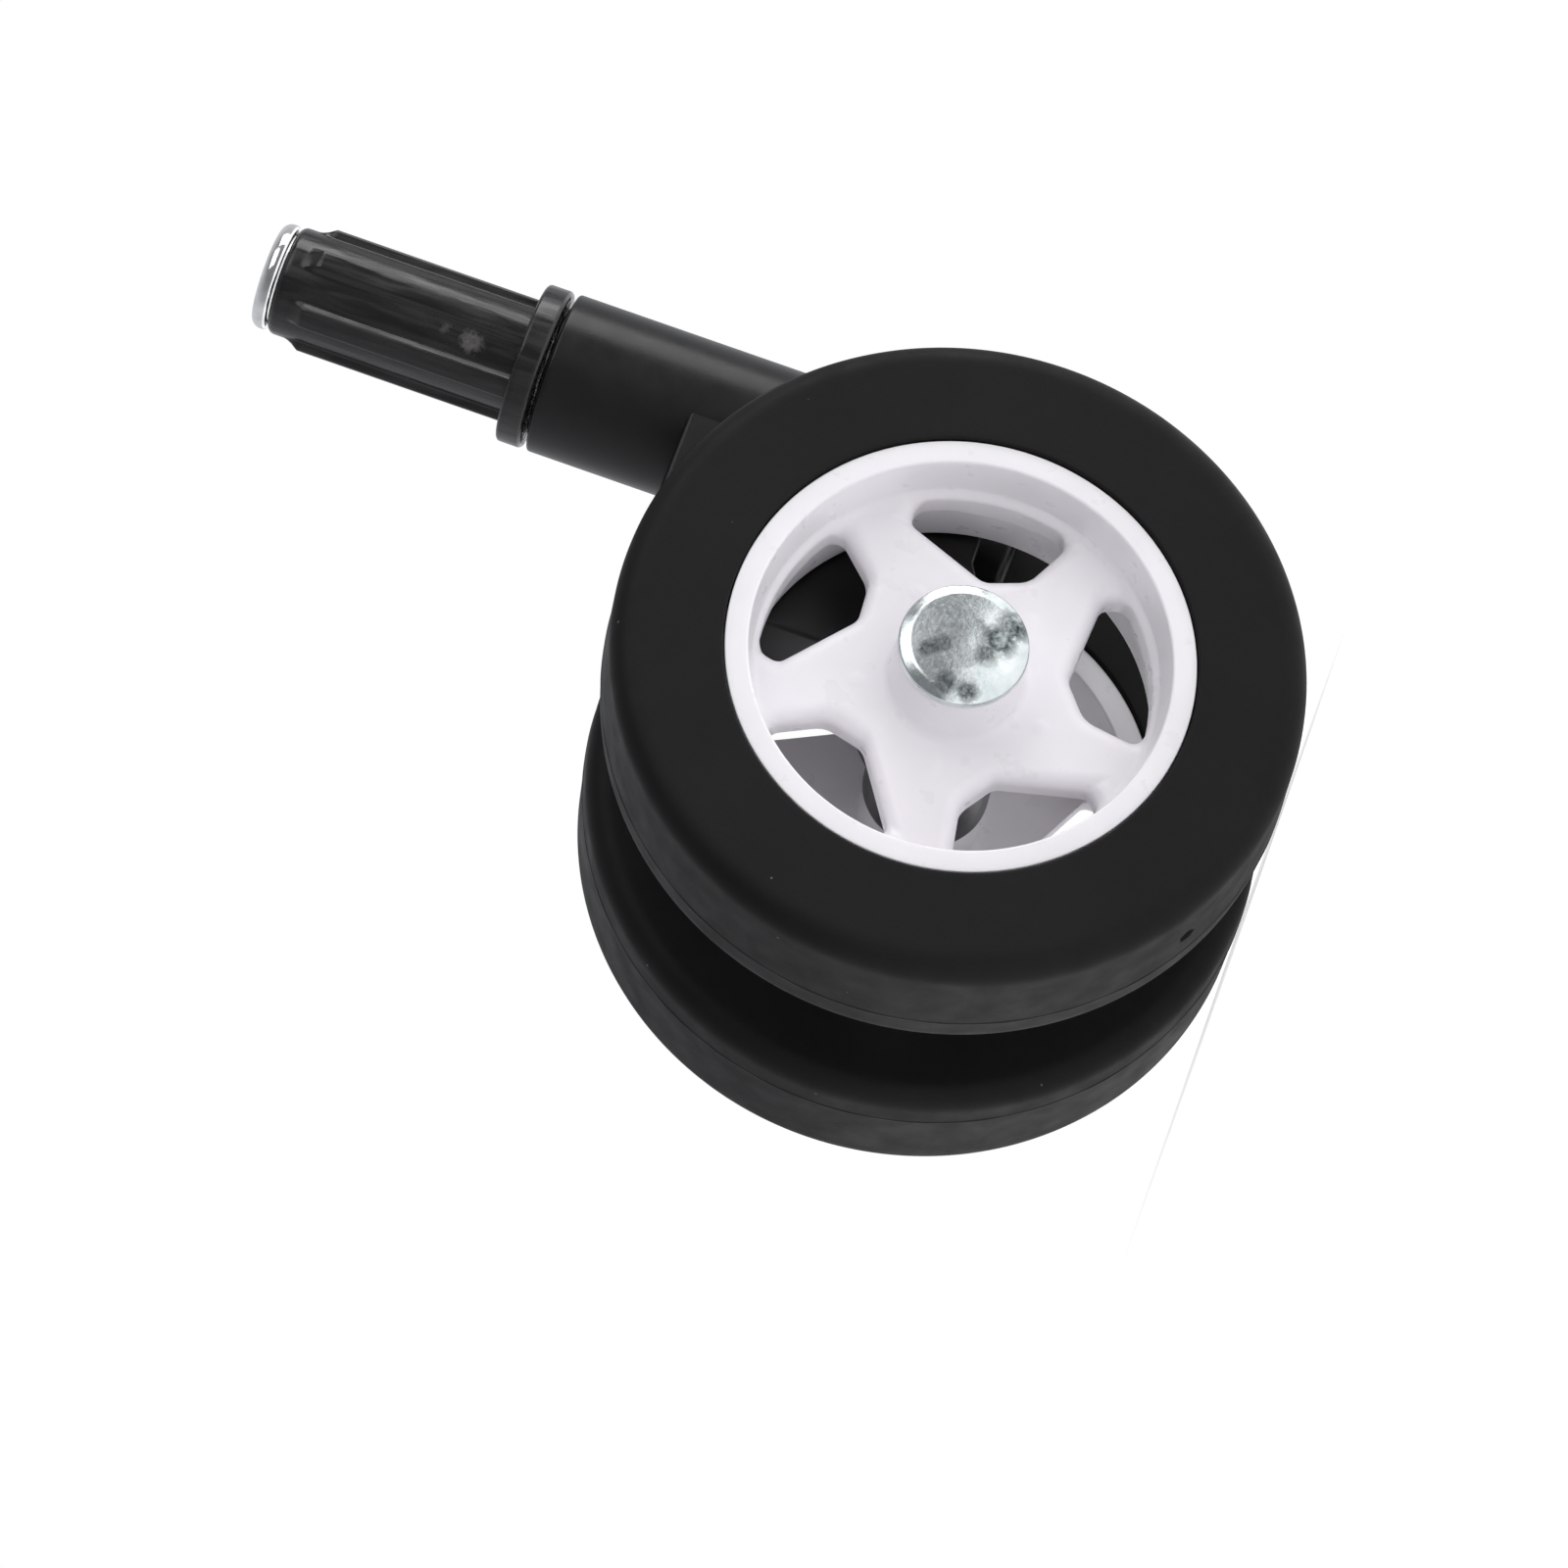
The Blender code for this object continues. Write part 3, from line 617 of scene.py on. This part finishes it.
def tyre_line():
    """Section of the tyre: flat sides, round shoulders, drafted tread and a groove for the hub's key."""
    top = WHEEL_RADIUS - PARTING_HEIGHT
    edge = top - TREAD_DRAFT
    half_key = KEY_WIDTH / 2 + KEY_SIDE_GAP
    floor = KEY_RADIUS + KEY_TOP_GAP
    corners = [
        (TYRE_BORE, TYRE_OUTER, TYRE_BORE_EDGE),
        (edge, TYRE_OUTER, TYRE_SHOULDER),
        (top, PARTING_LEVEL, 0),
        (edge, TYRE_INNER, TYRE_SHOULDER),
        (TYRE_BORE, TYRE_INNER, TYRE_BORE_EDGE),
        (TYRE_BORE, WHEEL_MIDDLE - half_key, 0),
        (floor, WHEEL_MIDDLE - half_key, 0),
        (floor, WHEEL_MIDDLE + half_key, 0),
        (TYRE_BORE, WHEEL_MIDDLE + half_key, 0),
    ]
    return subdivided(rounded_line(corners, closed=True))


def tyre_mesh(name, side, window_angle):
    """The section turned about the axle, with a raised parting line and a sunk gate on the tread.

    A tread point's radius grows by a narrow cosine ridge at the parting line, its height wavering round
    the tyre by a product of two sines, and shrinks by a round pit with a small stub in it at the gate.
    Rows and columns are closer together round both.
    """
    line = tyre_line()
    fine = np.arange(-FINE_REACH, FINE_REACH, FINE_STEP) * MM
    line = with_levels(line, np.concatenate([PARTING_LEVEL + fine / 4, GATE_LEVEL + fine]))
    gate = window_angle + GATE_ANGLE
    near = gate + fine / WHEEL_RADIUS
    angles = np.unique(np.concatenate([full_turn(TYRE_COLUMNS, gate - math.pi), near]))
    grid = turned(line, angles)
    radius = np.hypot(grid[..., 0], grid[..., 1])
    level = grid[..., 2]
    tread = radius > WHEEL_RADIUS - TYRE_SHOULDER / 2
    across = np.clip((level - PARTING_LEVEL) / PARTING_WIDTH, -1, 1)
    waver = 0.7 + 0.3 * np.sin(9 * angles) * np.sin(23 * angles)
    ridge = PARTING_HEIGHT * waver * (1 + np.cos(math.pi * across)) / 2
    away = np.hypot(level - GATE_LEVEL, WHEEL_RADIUS * (angles - gate))
    pit = GATE_DEPTH * (1 - smooth_step(GATE_FLOOR, GATE_RADIUS, away))
    stub = STUB_HEIGHT * (1 - smooth_step(STUB_TOP, STUB_FOOT, away))
    grown = 1 + np.where(tread, ridge - pit + stub, 0) / radius
    grid[..., 0] *= grown
    grid[..., 1] *= grown
    return skin(name, on_axle(grid, side))


def with_levels(line, levels):
    """The tread's part of the line gets extra points at the given levels."""
    low, high = TYRE_INNER + TYRE_SHOULDER, TYRE_OUTER - TYRE_SHOULDER
    level = line[:, 1]
    tread = np.flatnonzero((line[:, 0] > WHEEL_RADIUS - TYRE_SHOULDER / 2) & (level > low) & (level < high))
    first, last = tread[0], tread[-1]
    kept = line[first : last + 1]
    inner = levels[(levels < kept[0, 1]) & (levels > kept[-1, 1])]
    merged = np.unique(np.concatenate([kept[:, 1], inner]))[::-1]
    radius = np.interp(merged, kept[::-1, 1], kept[::-1, 0])
    return np.concatenate([line[:first], np.stack([radius, merged], axis=1), line[last + 1 :]])


# ---------------------------------------------------------------- hubs


def hub_front_line():
    """Front of the hub from the bore out to the rim's face: drafted boss, flat web, fillet, drafted wall."""
    return rounded_line(
        [
            (HUB_BORE, HUB_TOP, 0),
            (BOSS_TOP_RADIUS, HUB_TOP, BOSS_EDGE),
            (BOSS_FOOT_RADIUS, WEB_FRONT, BOSS_FILLET),
            (WEB_RADIUS, WEB_FRONT, WEB_FILLET),
            (RIM_INNER_RADIUS, HUB_FACE, RIM_EDGE),
            (HUB_RADIUS, HUB_FACE, 0),
        ]
    )


def hub_back_line():
    """Back of the hub from the bore out to the rim's inner end: tube, flat web and drafted wall."""
    tube_end = WASHER_OUTER_END + END_PLAY
    return rounded_line(
        [
            (HUB_BORE, tube_end, 0),
            (TUBE_RADIUS, tube_end, BOSS_EDGE),
            (TUBE_RADIUS + TUBE_DRAFT, WEB_BACK, BOSS_FILLET),
            (BACK_WEB_RADIUS, WEB_BACK, BACK_WEB_EDGE),
            (RIM_BACK_RADIUS, HUB_INNER, RIM_EDGE),
            (HUB_RADIUS, HUB_INNER, 0),
        ]
    )


def split_line(line, radius):
    """The line's parts inside and outside a radius, both ending on it."""
    level = np.interp(radius, line[:, 0], line[:, 1])
    cut = np.array([[radius, level]])
    inner = line[line[:, 0] < radius]
    outer = line[line[:, 0] > radius]
    return np.concatenate([inner, cut]), np.concatenate([cut, outer])


def window_outline():
    """One opening of the web, in polar form about the window's own centre: (angle, distance) pairs.

    An arc beside the rim, a narrow tail, a straight edge down to the inner corner and a blunt end.
    """
    arc = np.radians(np.linspace(*WINDOW_ARC, 12))
    rim_side = WINDOW_REACH * np.stack([np.cos(arc), np.sin(arc), 0 * arc], axis=1)
    corners = np.concatenate([rim_side, np.array(WINDOW_CORNERS) * MM])
    line = subdivided(rounded_line(corners, closed=True), WINDOW_STEP)[:-1]
    arm = line - WINDOW_CENTRE
    angle = np.arctan2(arm[:, 1], arm[:, 0])
    order = np.argsort(angle)
    return angle[order], np.hypot(arm[:, 0], arm[:, 1])[order]


def sector_border():
    """Closed border of one sector of the web, as points: outer arc, far side, inner arc, near side."""
    start, end = SECTOR_START, SECTOR_START + SECTOR
    across = np.linspace(WEB_JOIN_RADIUS, WEB_START_RADIUS, SIDE_COLUMNS + 1)
    sides = [
        (WEB_JOIN_RADIUS, np.linspace(start, end, RIM_COLUMNS + 1)),
        (across, end),
        (WEB_START_RADIUS, np.linspace(end, start, CENTRE_COLUMNS + 1)),
        (across[::-1], start),
    ]
    parts = [np.stack([r * np.cos(a), r * np.sin(a)], axis=1)[:-1] for r, a in sides]
    border = np.concatenate(parts)
    return np.concatenate([border, border[:1]])


def sector_grid(front, back):
    """One sector of the web as a band round its window, from the border in front to the border behind.

    Columns are rays from the window's centre. Along a ray the front surface stands at the web's level less a
    quarter-round roll that ends upright on the window's outline: level - (R - sqrt(R^2 - (R - d)^2)) at
    distance d from the outline. The wall then drops to the back, which has a small chamfer.
    """
    arm = sector_border() - WINDOW_CENTRE
    angle, reach = np.arctan2(arm[:, 1], arm[:, 0]), np.hypot(arm[:, 0], arm[:, 1])
    known_angle, known_reach = window_outline()
    outline = np.interp(angle, known_angle, known_reach, period=2 * math.pi)
    ray = arm / reach[:, None]
    room = reach - outline
    lean = outline_slope(angle, known_angle, known_reach)
    roll = np.minimum(WINDOW_ROLL, ROLL_LIMIT * room * lean)
    near = (1 - np.cos(np.linspace(0, math.pi / 2, ROLL_ROWS)))[:, None] * (roll / lean)
    far = near[-1] + np.linspace(0, 1, FRONT_ROWS)[1:, None] * (room - near[-1])
    away = np.concatenate([near, far])[::-1]
    flat = WINDOW_CENTRE + ray * (outline + away)[..., None]
    drop = roll - np.sqrt(np.clip(roll**2 - np.clip(roll - away * lean, 0, None) ** 2, 0, None))
    level = height_at(flat, front) - drop + MARK_HEIGHT * ejector_mark(flat)
    front_rows = np.concatenate([flat, level[..., None]], axis=-1)
    away = WINDOW_BACK_EDGE + np.linspace(0, 1, BACK_ROWS)[:, None] * (room - WINDOW_BACK_EDGE)
    flat = WINDOW_CENTRE + ray * (outline + away)[..., None]
    level = height_at(flat, back) - MARK_HEIGHT * ejector_mark(flat)
    back_rows = np.concatenate([flat, level[..., None]], axis=-1)
    edge = front_rows[-1].copy()
    edge[:, 2] = back_rows[0, :, 2] + WINDOW_BACK_EDGE
    share = np.linspace(0, 1, WALL_ROWS)[1:, None, None]
    wall = front_rows[-1] * (1 - share) + edge * share
    return np.concatenate([front_rows, wall, back_rows])


def height_at(flat, line):
    """Level of a turned line at each point of the plane of the wheel."""
    return np.interp(np.hypot(flat[..., 0], flat[..., 1]), line[:, 0], line[:, 1])


def outline_slope(angle, known_angle, known_reach):
    """Cosine of the angle between a ray and the outline's normal: r / sqrt(r^2 + (dr/da)^2)."""
    ahead = np.interp(angle + SLOPE_STEP, known_angle, known_reach, period=2 * math.pi)
    behind = np.interp(angle - SLOPE_STEP, known_angle, known_reach, period=2 * math.pi)
    here = np.interp(angle, known_angle, known_reach, period=2 * math.pi)
    return here / np.hypot(here, (ahead - behind) / (2 * SLOPE_STEP))


def ejector_mark(flat):
    """1 on the round mark that an ejector pin leaves in the middle of a spoke, fading out at its edge."""
    total = 0
    for turn in (SPOKE_ANGLE - SECTOR, SPOKE_ANGLE):
        spot = MARK_PLACE * np.array([math.cos(turn), math.sin(turn)])
        away = np.hypot(flat[..., 0] - spot[0], flat[..., 1] - spot[1]) / MARK_RADIUS
        total = total + 1 - smooth_step(0.5, 1.2, away)
    return total


def about_axis(grid, angle):
    """The grid turned about the Z axis by the angle."""
    cosine, sine = math.cos(angle), math.sin(angle)
    x, y = grid[..., 0], grid[..., 1]
    return np.stack([cosine * x - sine * y, sine * x + cosine * y, grid[..., 2]], axis=-1)


def hub_mesh(name, side, window_angle):
    """Spoked hub: the turned middle, five sectors with a window each, and the turned rim with its key."""
    front, back = hub_front_line(), hub_back_line()
    front_inner, rest = split_line(front, WEB_START_RADIUS)
    rim_front = split_line(rest, WEB_JOIN_RADIUS)[1]
    back_inner, rest = split_line(back, WEB_START_RADIUS)
    rim_back = split_line(rest, WEB_JOIN_RADIUS)[1]
    key_front, key_back = WHEEL_MIDDLE + KEY_WIDTH / 2, WHEEL_MIDDLE - KEY_WIDTH / 2
    outside = rounded_line(
        [
            (RIM_FACE_RADIUS, HUB_FACE, 0),
            (HUB_RADIUS - HUB_FACE_STEP, HUB_FACE, RIM_EDGE / 2),
            (HUB_RADIUS, key_front, 0),
            (KEY_RADIUS, key_front, 0),
            (KEY_RADIUS, key_back, 0),
            (HUB_RADIUS, key_back, 0),
            (HUB_RADIUS, HUB_INNER, RIM_EDGE),
            (RIM_FACE_RADIUS, HUB_INNER, 0),
        ]
    )
    rim = subdivided(np.concatenate([rim_front[:-1], outside, rim_back[:-1][::-1]]))
    centre = subdivided(np.concatenate([front_inner[::-1], back_inner]))
    grids = [
        turned(rim, full_turn(RIM_COLUMNS * WINDOW_COUNT, SECTOR_START)),
        turned(centre, full_turn(CENTRE_COLUMNS * WINDOW_COUNT, SECTOR_START)),
    ]
    sector = sector_grid(front, back)
    grids += [about_axis(sector, index * SECTOR) for index in range(WINDOW_COUNT)]
    return skin(name, *[on_axle(about_axis(grid, window_angle), side) for grid in grids])


# ---------------------------------------------------------------- axle, washers and pin


def head_corners(seat):
    """Domed head from the axis to under its rim: a shallow crown, a broad bevel and an upright edge."""
    return [
        (0, HEAD_TOP, 0),
        *((share * HEAD_RADIUS, HEAD_TOP - drop * MM, radius * MM) for share, drop, radius in HEAD_CORNERS),
        (HEAD_RADIUS, seat, HEAD_EDGE),
    ]


def axle_mesh(name):
    """Shaft with its head on the front side, turned about the axle."""
    seat = HUB_TOP + END_PLAY
    corners = head_corners(seat) + [
        (AXLE_RADIUS, seat, 0),
        (AXLE_RADIUS, -AXLE_END, SHAFT_EDGE),
        (0, -AXLE_END, 0),
    ]
    return skin(name, on_axle(turned(subdivided(rounded_line(corners)), full_turn(SMALL_COLUMNS)), -1))


def cap_mesh(name):
    """Push-on cap on the rear side, with a blind hole over the axle's end."""
    seat = HUB_TOP + END_PLAY
    hole = AXLE_RADIUS + SEAT_GAP
    corners = head_corners(seat) + [
        (hole, seat, HEAD_EDGE),
        (hole, HEAD_TOP - CAP_SKIN, 0),
        (0, HEAD_TOP - CAP_SKIN, 0),
    ]
    return skin(name, on_axle(turned(subdivided(rounded_line(corners)), full_turn(SMALL_COLUMNS)), 1))


def ring_line(outer, inner, top, bottom, edge):
    """Closed rectangular section of a ring, its four edges rounded."""
    corners = [(outer, top, edge), (outer, bottom, edge), (inner, bottom, edge), (inner, top, edge)]
    return subdivided(rounded_line(corners, closed=True))


def axle_washer_mesh(name, side):
    """Washer beside the fork's boss: a rectangular section with rounded edges, turned about the axle."""
    line = ring_line(WASHER_RADIUS, AXLE_RADIUS + SEAT_GAP, WASHER_OUTER_END, WASHER_INNER_END, WASHER_EDGE)
    return skin(name, on_axle(turned(line, full_turn(SMALL_COLUMNS)), side))


def pin_mesh(name):
    """Pin turned about the swivel axis: a head with a round edge, a plain shaft and the ring's groove."""
    head = PIN_TOP - PIN_HEAD_BOTTOM
    groove = PIN_RADIUS - PIN_GROOVE_DEPTH
    groove_top = ring_high.z + PIN_GROOVE_PLAY
    groove_bottom = ring_low.z - PIN_GROOVE_PLAY
    corners = [
        (0, PIN_TOP, 0),
        (PIN_HEAD_RADIUS - head, PIN_TOP - 0.02 * MM, 0.3 * head),
        (PIN_HEAD_RADIUS, PIN_TOP - 0.12 * MM, 0.6 * head),
        (PIN_HEAD_RADIUS, PIN_HEAD_BOTTOM, 0.2 * head),
        (PIN_RADIUS, PIN_HEAD_BOTTOM, 0),
        (PIN_RADIUS, groove_top, 0),
        (groove, groove_top, 0),
        (groove, groove_bottom, 0),
        (PIN_RADIUS, groove_bottom, 0),
        (PIN_RADIUS, PIN_BOTTOM, PIN_TAIL_EDGE),
        (0, PIN_BOTTOM, 0),
    ]
    return skin(name, turned(subdivided(rounded_line(corners)), full_turn(STEM_COLUMNS)))


def thrust_mesh(name):
    """Thrust washer: a rectangular section with rounded edges, turned about the swivel axis."""
    line = ring_line(thrust_high.x, BARREL_BORE, thrust_high.z, thrust_low.z, WASHER_EDGE)
    return skin(name, turned(line, full_turn(STEM_COLUMNS)))


def retaining_ring_mesh(name):
    """Snap ring in the pin's groove: a flat section swept through most of a turn, with closed ends."""
    line = ring_line(ring_high.x, RING_BORE, ring_high.z, ring_low.z, RING_EDGE)
    angles = np.linspace(RING_SLOT, 2 * math.pi - RING_SLOT, STEM_COLUMNS)
    body = turned(line, angles)
    centre = turned(line[:-1].mean(axis=0)[None], angles)[0]
    ends = [np.stack([body[:, end], np.broadcast_to(centre[end], line.shape[:1] + (3,))]) for end in (0, -1)]
    return skin(name, body, *ends)


# ---------------------------------------------------------------- sleeve


def rib_share(angles, radius):
    """1 on the top of a rib, 0 between ribs, with flanks that roll over within the ribs' softness."""
    pitch = 2 * math.pi / RIB_COUNT
    off = (angles - RIB_ANGLE + pitch / 2) % pitch - pitch / 2
    across = np.abs(radius * np.sin(off))
    return 1 - smooth_step(RIB_WIDTH / 2 - RIB_SOFTNESS, RIB_WIDTH / 2 + RIB_SOFTNESS, across)


def sleeve_angles():
    """Columns set close together on the flanks of the ribs and wider apart elsewhere."""
    pitch = 2 * math.pi / RIB_COUNT
    half = RIB_WIDTH / 2 / SLEEVE_RADIUS
    soft = 1.2 * RIB_SOFTNESS / SLEEVE_RADIUS
    flank = np.linspace(half - soft, half + soft, FLANK_COLUMNS)
    crest = np.linspace(-half + soft, half - soft, CREST_COLUMNS)[1:-1]
    valley = np.linspace(half + soft, pitch - half - soft, VALLEY_COLUMNS)[1:-1]
    pattern = RIB_ANGLE + np.concatenate([-flank[::-1], crest, flank, valley])
    angles = np.concatenate([pattern + index * pitch for index in range(RIB_COUNT)])
    return np.concatenate([angles, angles[:1] + 2 * math.pi])


def sleeve_mesh(name):
    """Fluted sleeve with a collar, turned about the swivel axis, bored for the pin.

    Outside, the radius is the core's plus the ribs' height times the rib share. The height fades to
    nothing along a rounded slope at the ribs' upper ends, and the ribs stop at the collar.
    """
    corners = [
        (SLEEVE_BORE, SLEEVE_TOP, BORE_EDGE),
        (SLEEVE_RADIUS, SLEEVE_TOP, SLEEVE_EDGE),
        (SLEEVE_RADIUS, 0, SLEEVE_FOOT),
        (COLLAR_RADIUS, 0, COLLAR_EDGE),
        (COLLAR_RADIUS, COLLAR_BOTTOM, COLLAR_EDGE),
        (SLEEVE_BORE, COLLAR_BOTTOM, BORE_EDGE),
    ]
    line = subdivided(rounded_line(corners, closed=True), STEM_STEP)
    angles = sleeve_angles()
    grid = turned(line, angles)
    radius, level = line[:, :1], line[:, 1:]
    on_core = (radius > (SLEEVE_RADIUS + SLEEVE_BORE) / 2) & (radius < SLEEVE_RADIUS + RUNNING_GAP)
    outside = on_core & (level > 0)
    below_end = np.clip((RIB_END - level) / RIB_END_SLOPE, 0, 1)
    height = RIB_HEIGHT * (1 - np.sqrt(np.clip(1 - below_end**2, 0, 1))) ** RIB_END_FADE
    grown = 1 + np.where(outside, height, 0) * rib_share(angles, SLEEVE_RADIUS) / radius
    grid[..., 0] *= grown
    grid[..., 1] *= grown
    return skin(name, grid)


# ---------------------------------------------------------------- fork


def barrel_mesh(name):
    """Barrel turned about the swivel axis, flattened to the block's width where the tyres sweep past.

    Each point's distance from the middle plane is held to a limit that goes from the block's half width
    inside the tyres' sweep to the barrel's radius outside it.
    """
    recess = thrust_high.x + END_PLAY
    seat = thrust_low.z - END_PLAY
    corners = [
        (BARREL_BORE, seat, 0),
        (recess, seat, 0),
        (recess, BARREL_TOP, BORE_EDGE),
        (BARREL_RADIUS, BARREL_TOP, BARREL_EDGE),
        (BARREL_RADIUS, BARREL_BOTTOM, BARREL_MOUTH),
        (RING_RECESS, BARREL_BOTTOM, RECESS_EDGE),
        (RING_RECESS, RING_SEAT, 0),
        (BARREL_BORE, RING_SEAT, 0),
    ]
    grid = turned(subdivided(rounded_line(corners, closed=True), BARREL_STEP), full_turn(STEM_COLUMNS))
    away = np.hypot(grid[..., 0] - AXLE_X, grid[..., 2] - AXLE_Z)
    spare = BARREL_RADIUS - BLOCK_HALF_WIDTH
    room = BLOCK_HALF_WIDTH + spare * smooth_step(SWEEP_START, SWEEP_END, away)
    grid[..., 1] = np.clip(grid[..., 1], -room, room)
    return skin(name, grid)


def block_mesh(name):
    """Block between barrel and axle boss: one outline carried across the width, its edges rounded over.

    Each ring of the band is the outline moved inwards along its own normals by R(1 - cos t) while it moves
    out to the cheek by R sin t, and the cheeks close on the middle of the outline.
    """
    corners = [
        (BLOCK_BACK, BLOCK_TOP, 0.4 * MM),
        (0, BLOCK_TOP, 0),
        (0, BLOCK_LOW, 0),
        (-BARREL_RADIUS, BLOCK_LOW, 1 * MM),
        (AXLE_X + BLOCK_FRONT_CORNER[0], AXLE_Z + BLOCK_FRONT_CORNER[1], 0),
        (AXLE_X + BLOCK_BACK_CORNER[0], AXLE_Z + BLOCK_BACK_CORNER[1], 0),
        (BLOCK_BACK, AXLE_Z + BLOCK_SET_BACK + BOSS_RADIUS, BLOCK_FILLET),
    ]
    line = subdivided(rounded_line(corners, closed=True))
    ahead, behind = np.roll(line[:-1], -1, axis=0), np.roll(line[:-1], 1, axis=0)
    along = (ahead - behind) / np.linalg.norm(ahead - behind, axis=1)[:, None]
    inward = np.stack([along[:, 1], -along[:, 0]], axis=1)
    inward = np.concatenate([inward, inward[:1]])
    turn = np.linspace(0, math.pi / 2, 7)[:, None, None]
    flat = line + inward * BLOCK_EDGE * (1 - np.cos(turn[::-1]))
    depth = BLOCK_HALF_WIDTH - BLOCK_EDGE * (1 - np.sin(turn[::-1])) + 0 * flat[..., :1]
    middle = np.broadcast_to(line[:-1].mean(axis=0) + np.array([1, 1]) * MM, line.shape)
    share = np.linspace(0, 1, 12)[:-1, None, None]
    cheek = middle + (flat[0] - middle) * share
    rows = np.concatenate([cheek, flat])
    depth = np.concatenate([np.full((len(cheek), len(line), 1), BLOCK_HALF_WIDTH), depth])
    half = np.concatenate([rows[..., :1], depth, rows[..., 1:]], axis=-1)
    other = half[::-1] * np.array([1, -1, 1])
    return skin(name, np.concatenate([half, other]))


def boss_mesh(name):
    """Boss round the axle: a rectangular section with rounded edges, turned about the axle."""
    line = ring_line(BOSS_RADIUS, AXLE_RADIUS + SEAT_GAP, BOSS_HALF_LENGTH, -BOSS_HALF_LENGTH, BOSS_EDGE)
    return skin(name, on_axle(turned(line, full_turn(SMALL_COLUMNS)), 1))


# ---------------------------------------------------------------- stage


def make_camera():
    """Long lens from in front and to the left, rolled so that the stem points up and to the left."""
    data = bpy.data.cameras.new("camera")
    data.lens = CAMERA_LENS
    data.sensor_width = CAMERA_SENSOR
    data.clip_start = CAMERA_NEAR
    camera = bpy.data.objects.new("camera", data)
    bpy.context.scene.collection.objects.link(camera)
    camera.location = CAMERA_PLACE
    camera.rotation_euler = Euler([math.radians(angle) for angle in CAMERA_TURN])
    bpy.context.scene.camera = camera


def soft_box(name, direction, distance, size, power):
    """A square white area light that faces the caster from the given direction."""
    data = bpy.data.lights.new(name, "AREA")
    data.shape = "SQUARE"
    data.size = size
    data.energy = power
    light = bpy.data.objects.new(name, data)
    bpy.context.scene.collection.objects.link(light)
    away = Vector(direction).normalized()
    light.location = LOOK_AT + away * distance
    light.rotation_euler = away.to_track_quat("Z", "Y").to_euler()


def studio_world():
    """White surroundings: plain white seen directly, and lighting the caster less from the front."""
    world = bpy.data.worlds.new("studio")
    world.use_nodes = True
    tree = world.node_tree
    tree.nodes.clear()
    direction = add(tree, "TexCoord").outputs["Generated"]
    depth = add(tree, "SeparateXYZ", {"Vector": direction}).outputs["Y"]
    strength = in_range(tree, depth, -0.6, 0.5, FRONT_GLOW, BACK_GLOW)
    lighting = add(tree, "Background", {"Strength": strength, "Color": linear("#F4F6FA")}).outputs[0]
    seen = add(tree, "Background", {"Color": linear("#FFFFFF"), "Strength": 1.0}).outputs[0]
    direct = add(tree, "LightPath").outputs["Is Camera Ray"]
    surface = add(tree, "MixShader", {0: direct, 1: lighting, 2: seen}).outputs[0]
    add(tree, "OutputWorld", {"Surface": surface})
    bpy.context.scene.world = world


def pale_floor():
    """Matt white floor that glows a little, so that it stays white: a flat sheet just under the tyres."""
    material, tree, shader, place = new_material("matt_white_floor")
    feed(
        tree,
        shader,
        base_color=blend(tree, noise(tree, place, 60 * MM), "#F6F6F6", "#FAFAFA"),
        roughness=0.8,
        emission_color=linear("#FFFFFF"),
        emission_strength=0.6,
    )
    reach = np.linspace(-FLOOR_REACH, FLOOR_REACH, 9)
    across, along = np.meshgrid(reach, reach, indexing="ij")
    grid = np.stack([across, along, np.full_like(across, FLOOR_LEVEL - FLOOR_GAP)], axis=-1)
    floor = bpy.data.objects.new("floor", skin("floor", grid))
    bpy.context.scene.collection.objects.link(floor)
    floor.data.materials.append(material)


def build_caster():
    """Makes the materials, then every piece on its body."""
    white = white_polypropylene()
    rubber = tyre_elastomer()
    satin = satin_nylon()
    gloss = glossy_nylon()
    chrome = chrome_plate()
    zinc = zinc_plate()
    shade_darkened = greased_steel()
    for end, side, angle in (("front", -1, FRONT_WINDOW_ANGLE), ("rear", 1, REAR_WINDOW_ANGLE)):
        body = f"wheel_{end}"
        tyre = tyre_mesh(f"tyre_ring_{end}", side, angle)
        piece(f"tyre_ring_{end}", tyre, rubber, body, "tyre_black", f"tyre_{end}")
        hub = hub_mesh(f"spoked_hub_{end}", side, angle)
        piece(f"spoked_hub_{end}", hub, white, body, "hub_white", f"hub_{end}")
        washer = axle_washer_mesh(f"boss_washer_{end}", side)
        piece(f"boss_washer_{end}", washer, zinc, "fork", "zinc_steel", f"axle_washer_{end}")
    piece("headed_axle", axle_mesh("headed_axle"), zinc, "fork", "zinc_steel", "axle")
    piece("axle_end_cap", cap_mesh("axle_end_cap"), zinc, "fork", "zinc_steel", "axle_cap")
    piece("headed_pin", pin_mesh("headed_pin"), chrome, "fork", "pin_chrome", "swivel_pin")
    # Both rings take the steel darkened with painted shade.
    piece("thrust_ring", thrust_mesh("thrust_ring"), shade_darkened, "fork", "zinc_steel", "thrust_washer")
    piece("snap_ring", retaining_ring_mesh("snap_ring"), shade_darkened, "fork", "zinc_steel", "pin_retaining_ring")
    piece("fluted_sleeve", sleeve_mesh("fluted_sleeve"), gloss, "sleeve", "sleeve_black", "socket_sleeve")
    piece("fork_barrel", barrel_mesh("fork_barrel"), satin, "fork", "fork_black", "fork_body")
    piece("fork_block", block_mesh("fork_block"), satin, "fork", "fork_black", "fork_body")
    piece("fork_boss", boss_mesh("fork_boss"), satin, "fork", "fork_black", "fork_body")


build_caster()
make_camera()
studio_world()
pale_floor()
soft_box("key", direction=(0.85, -0.45, 0.3), distance=0.9, size=0.5, power=2.9)
soft_box("fill", direction=(0.2, -0.8, 0.6), distance=1.0, size=0.7, power=2.6)
bpy.context.scene.view_settings.view_transform = "Standard"
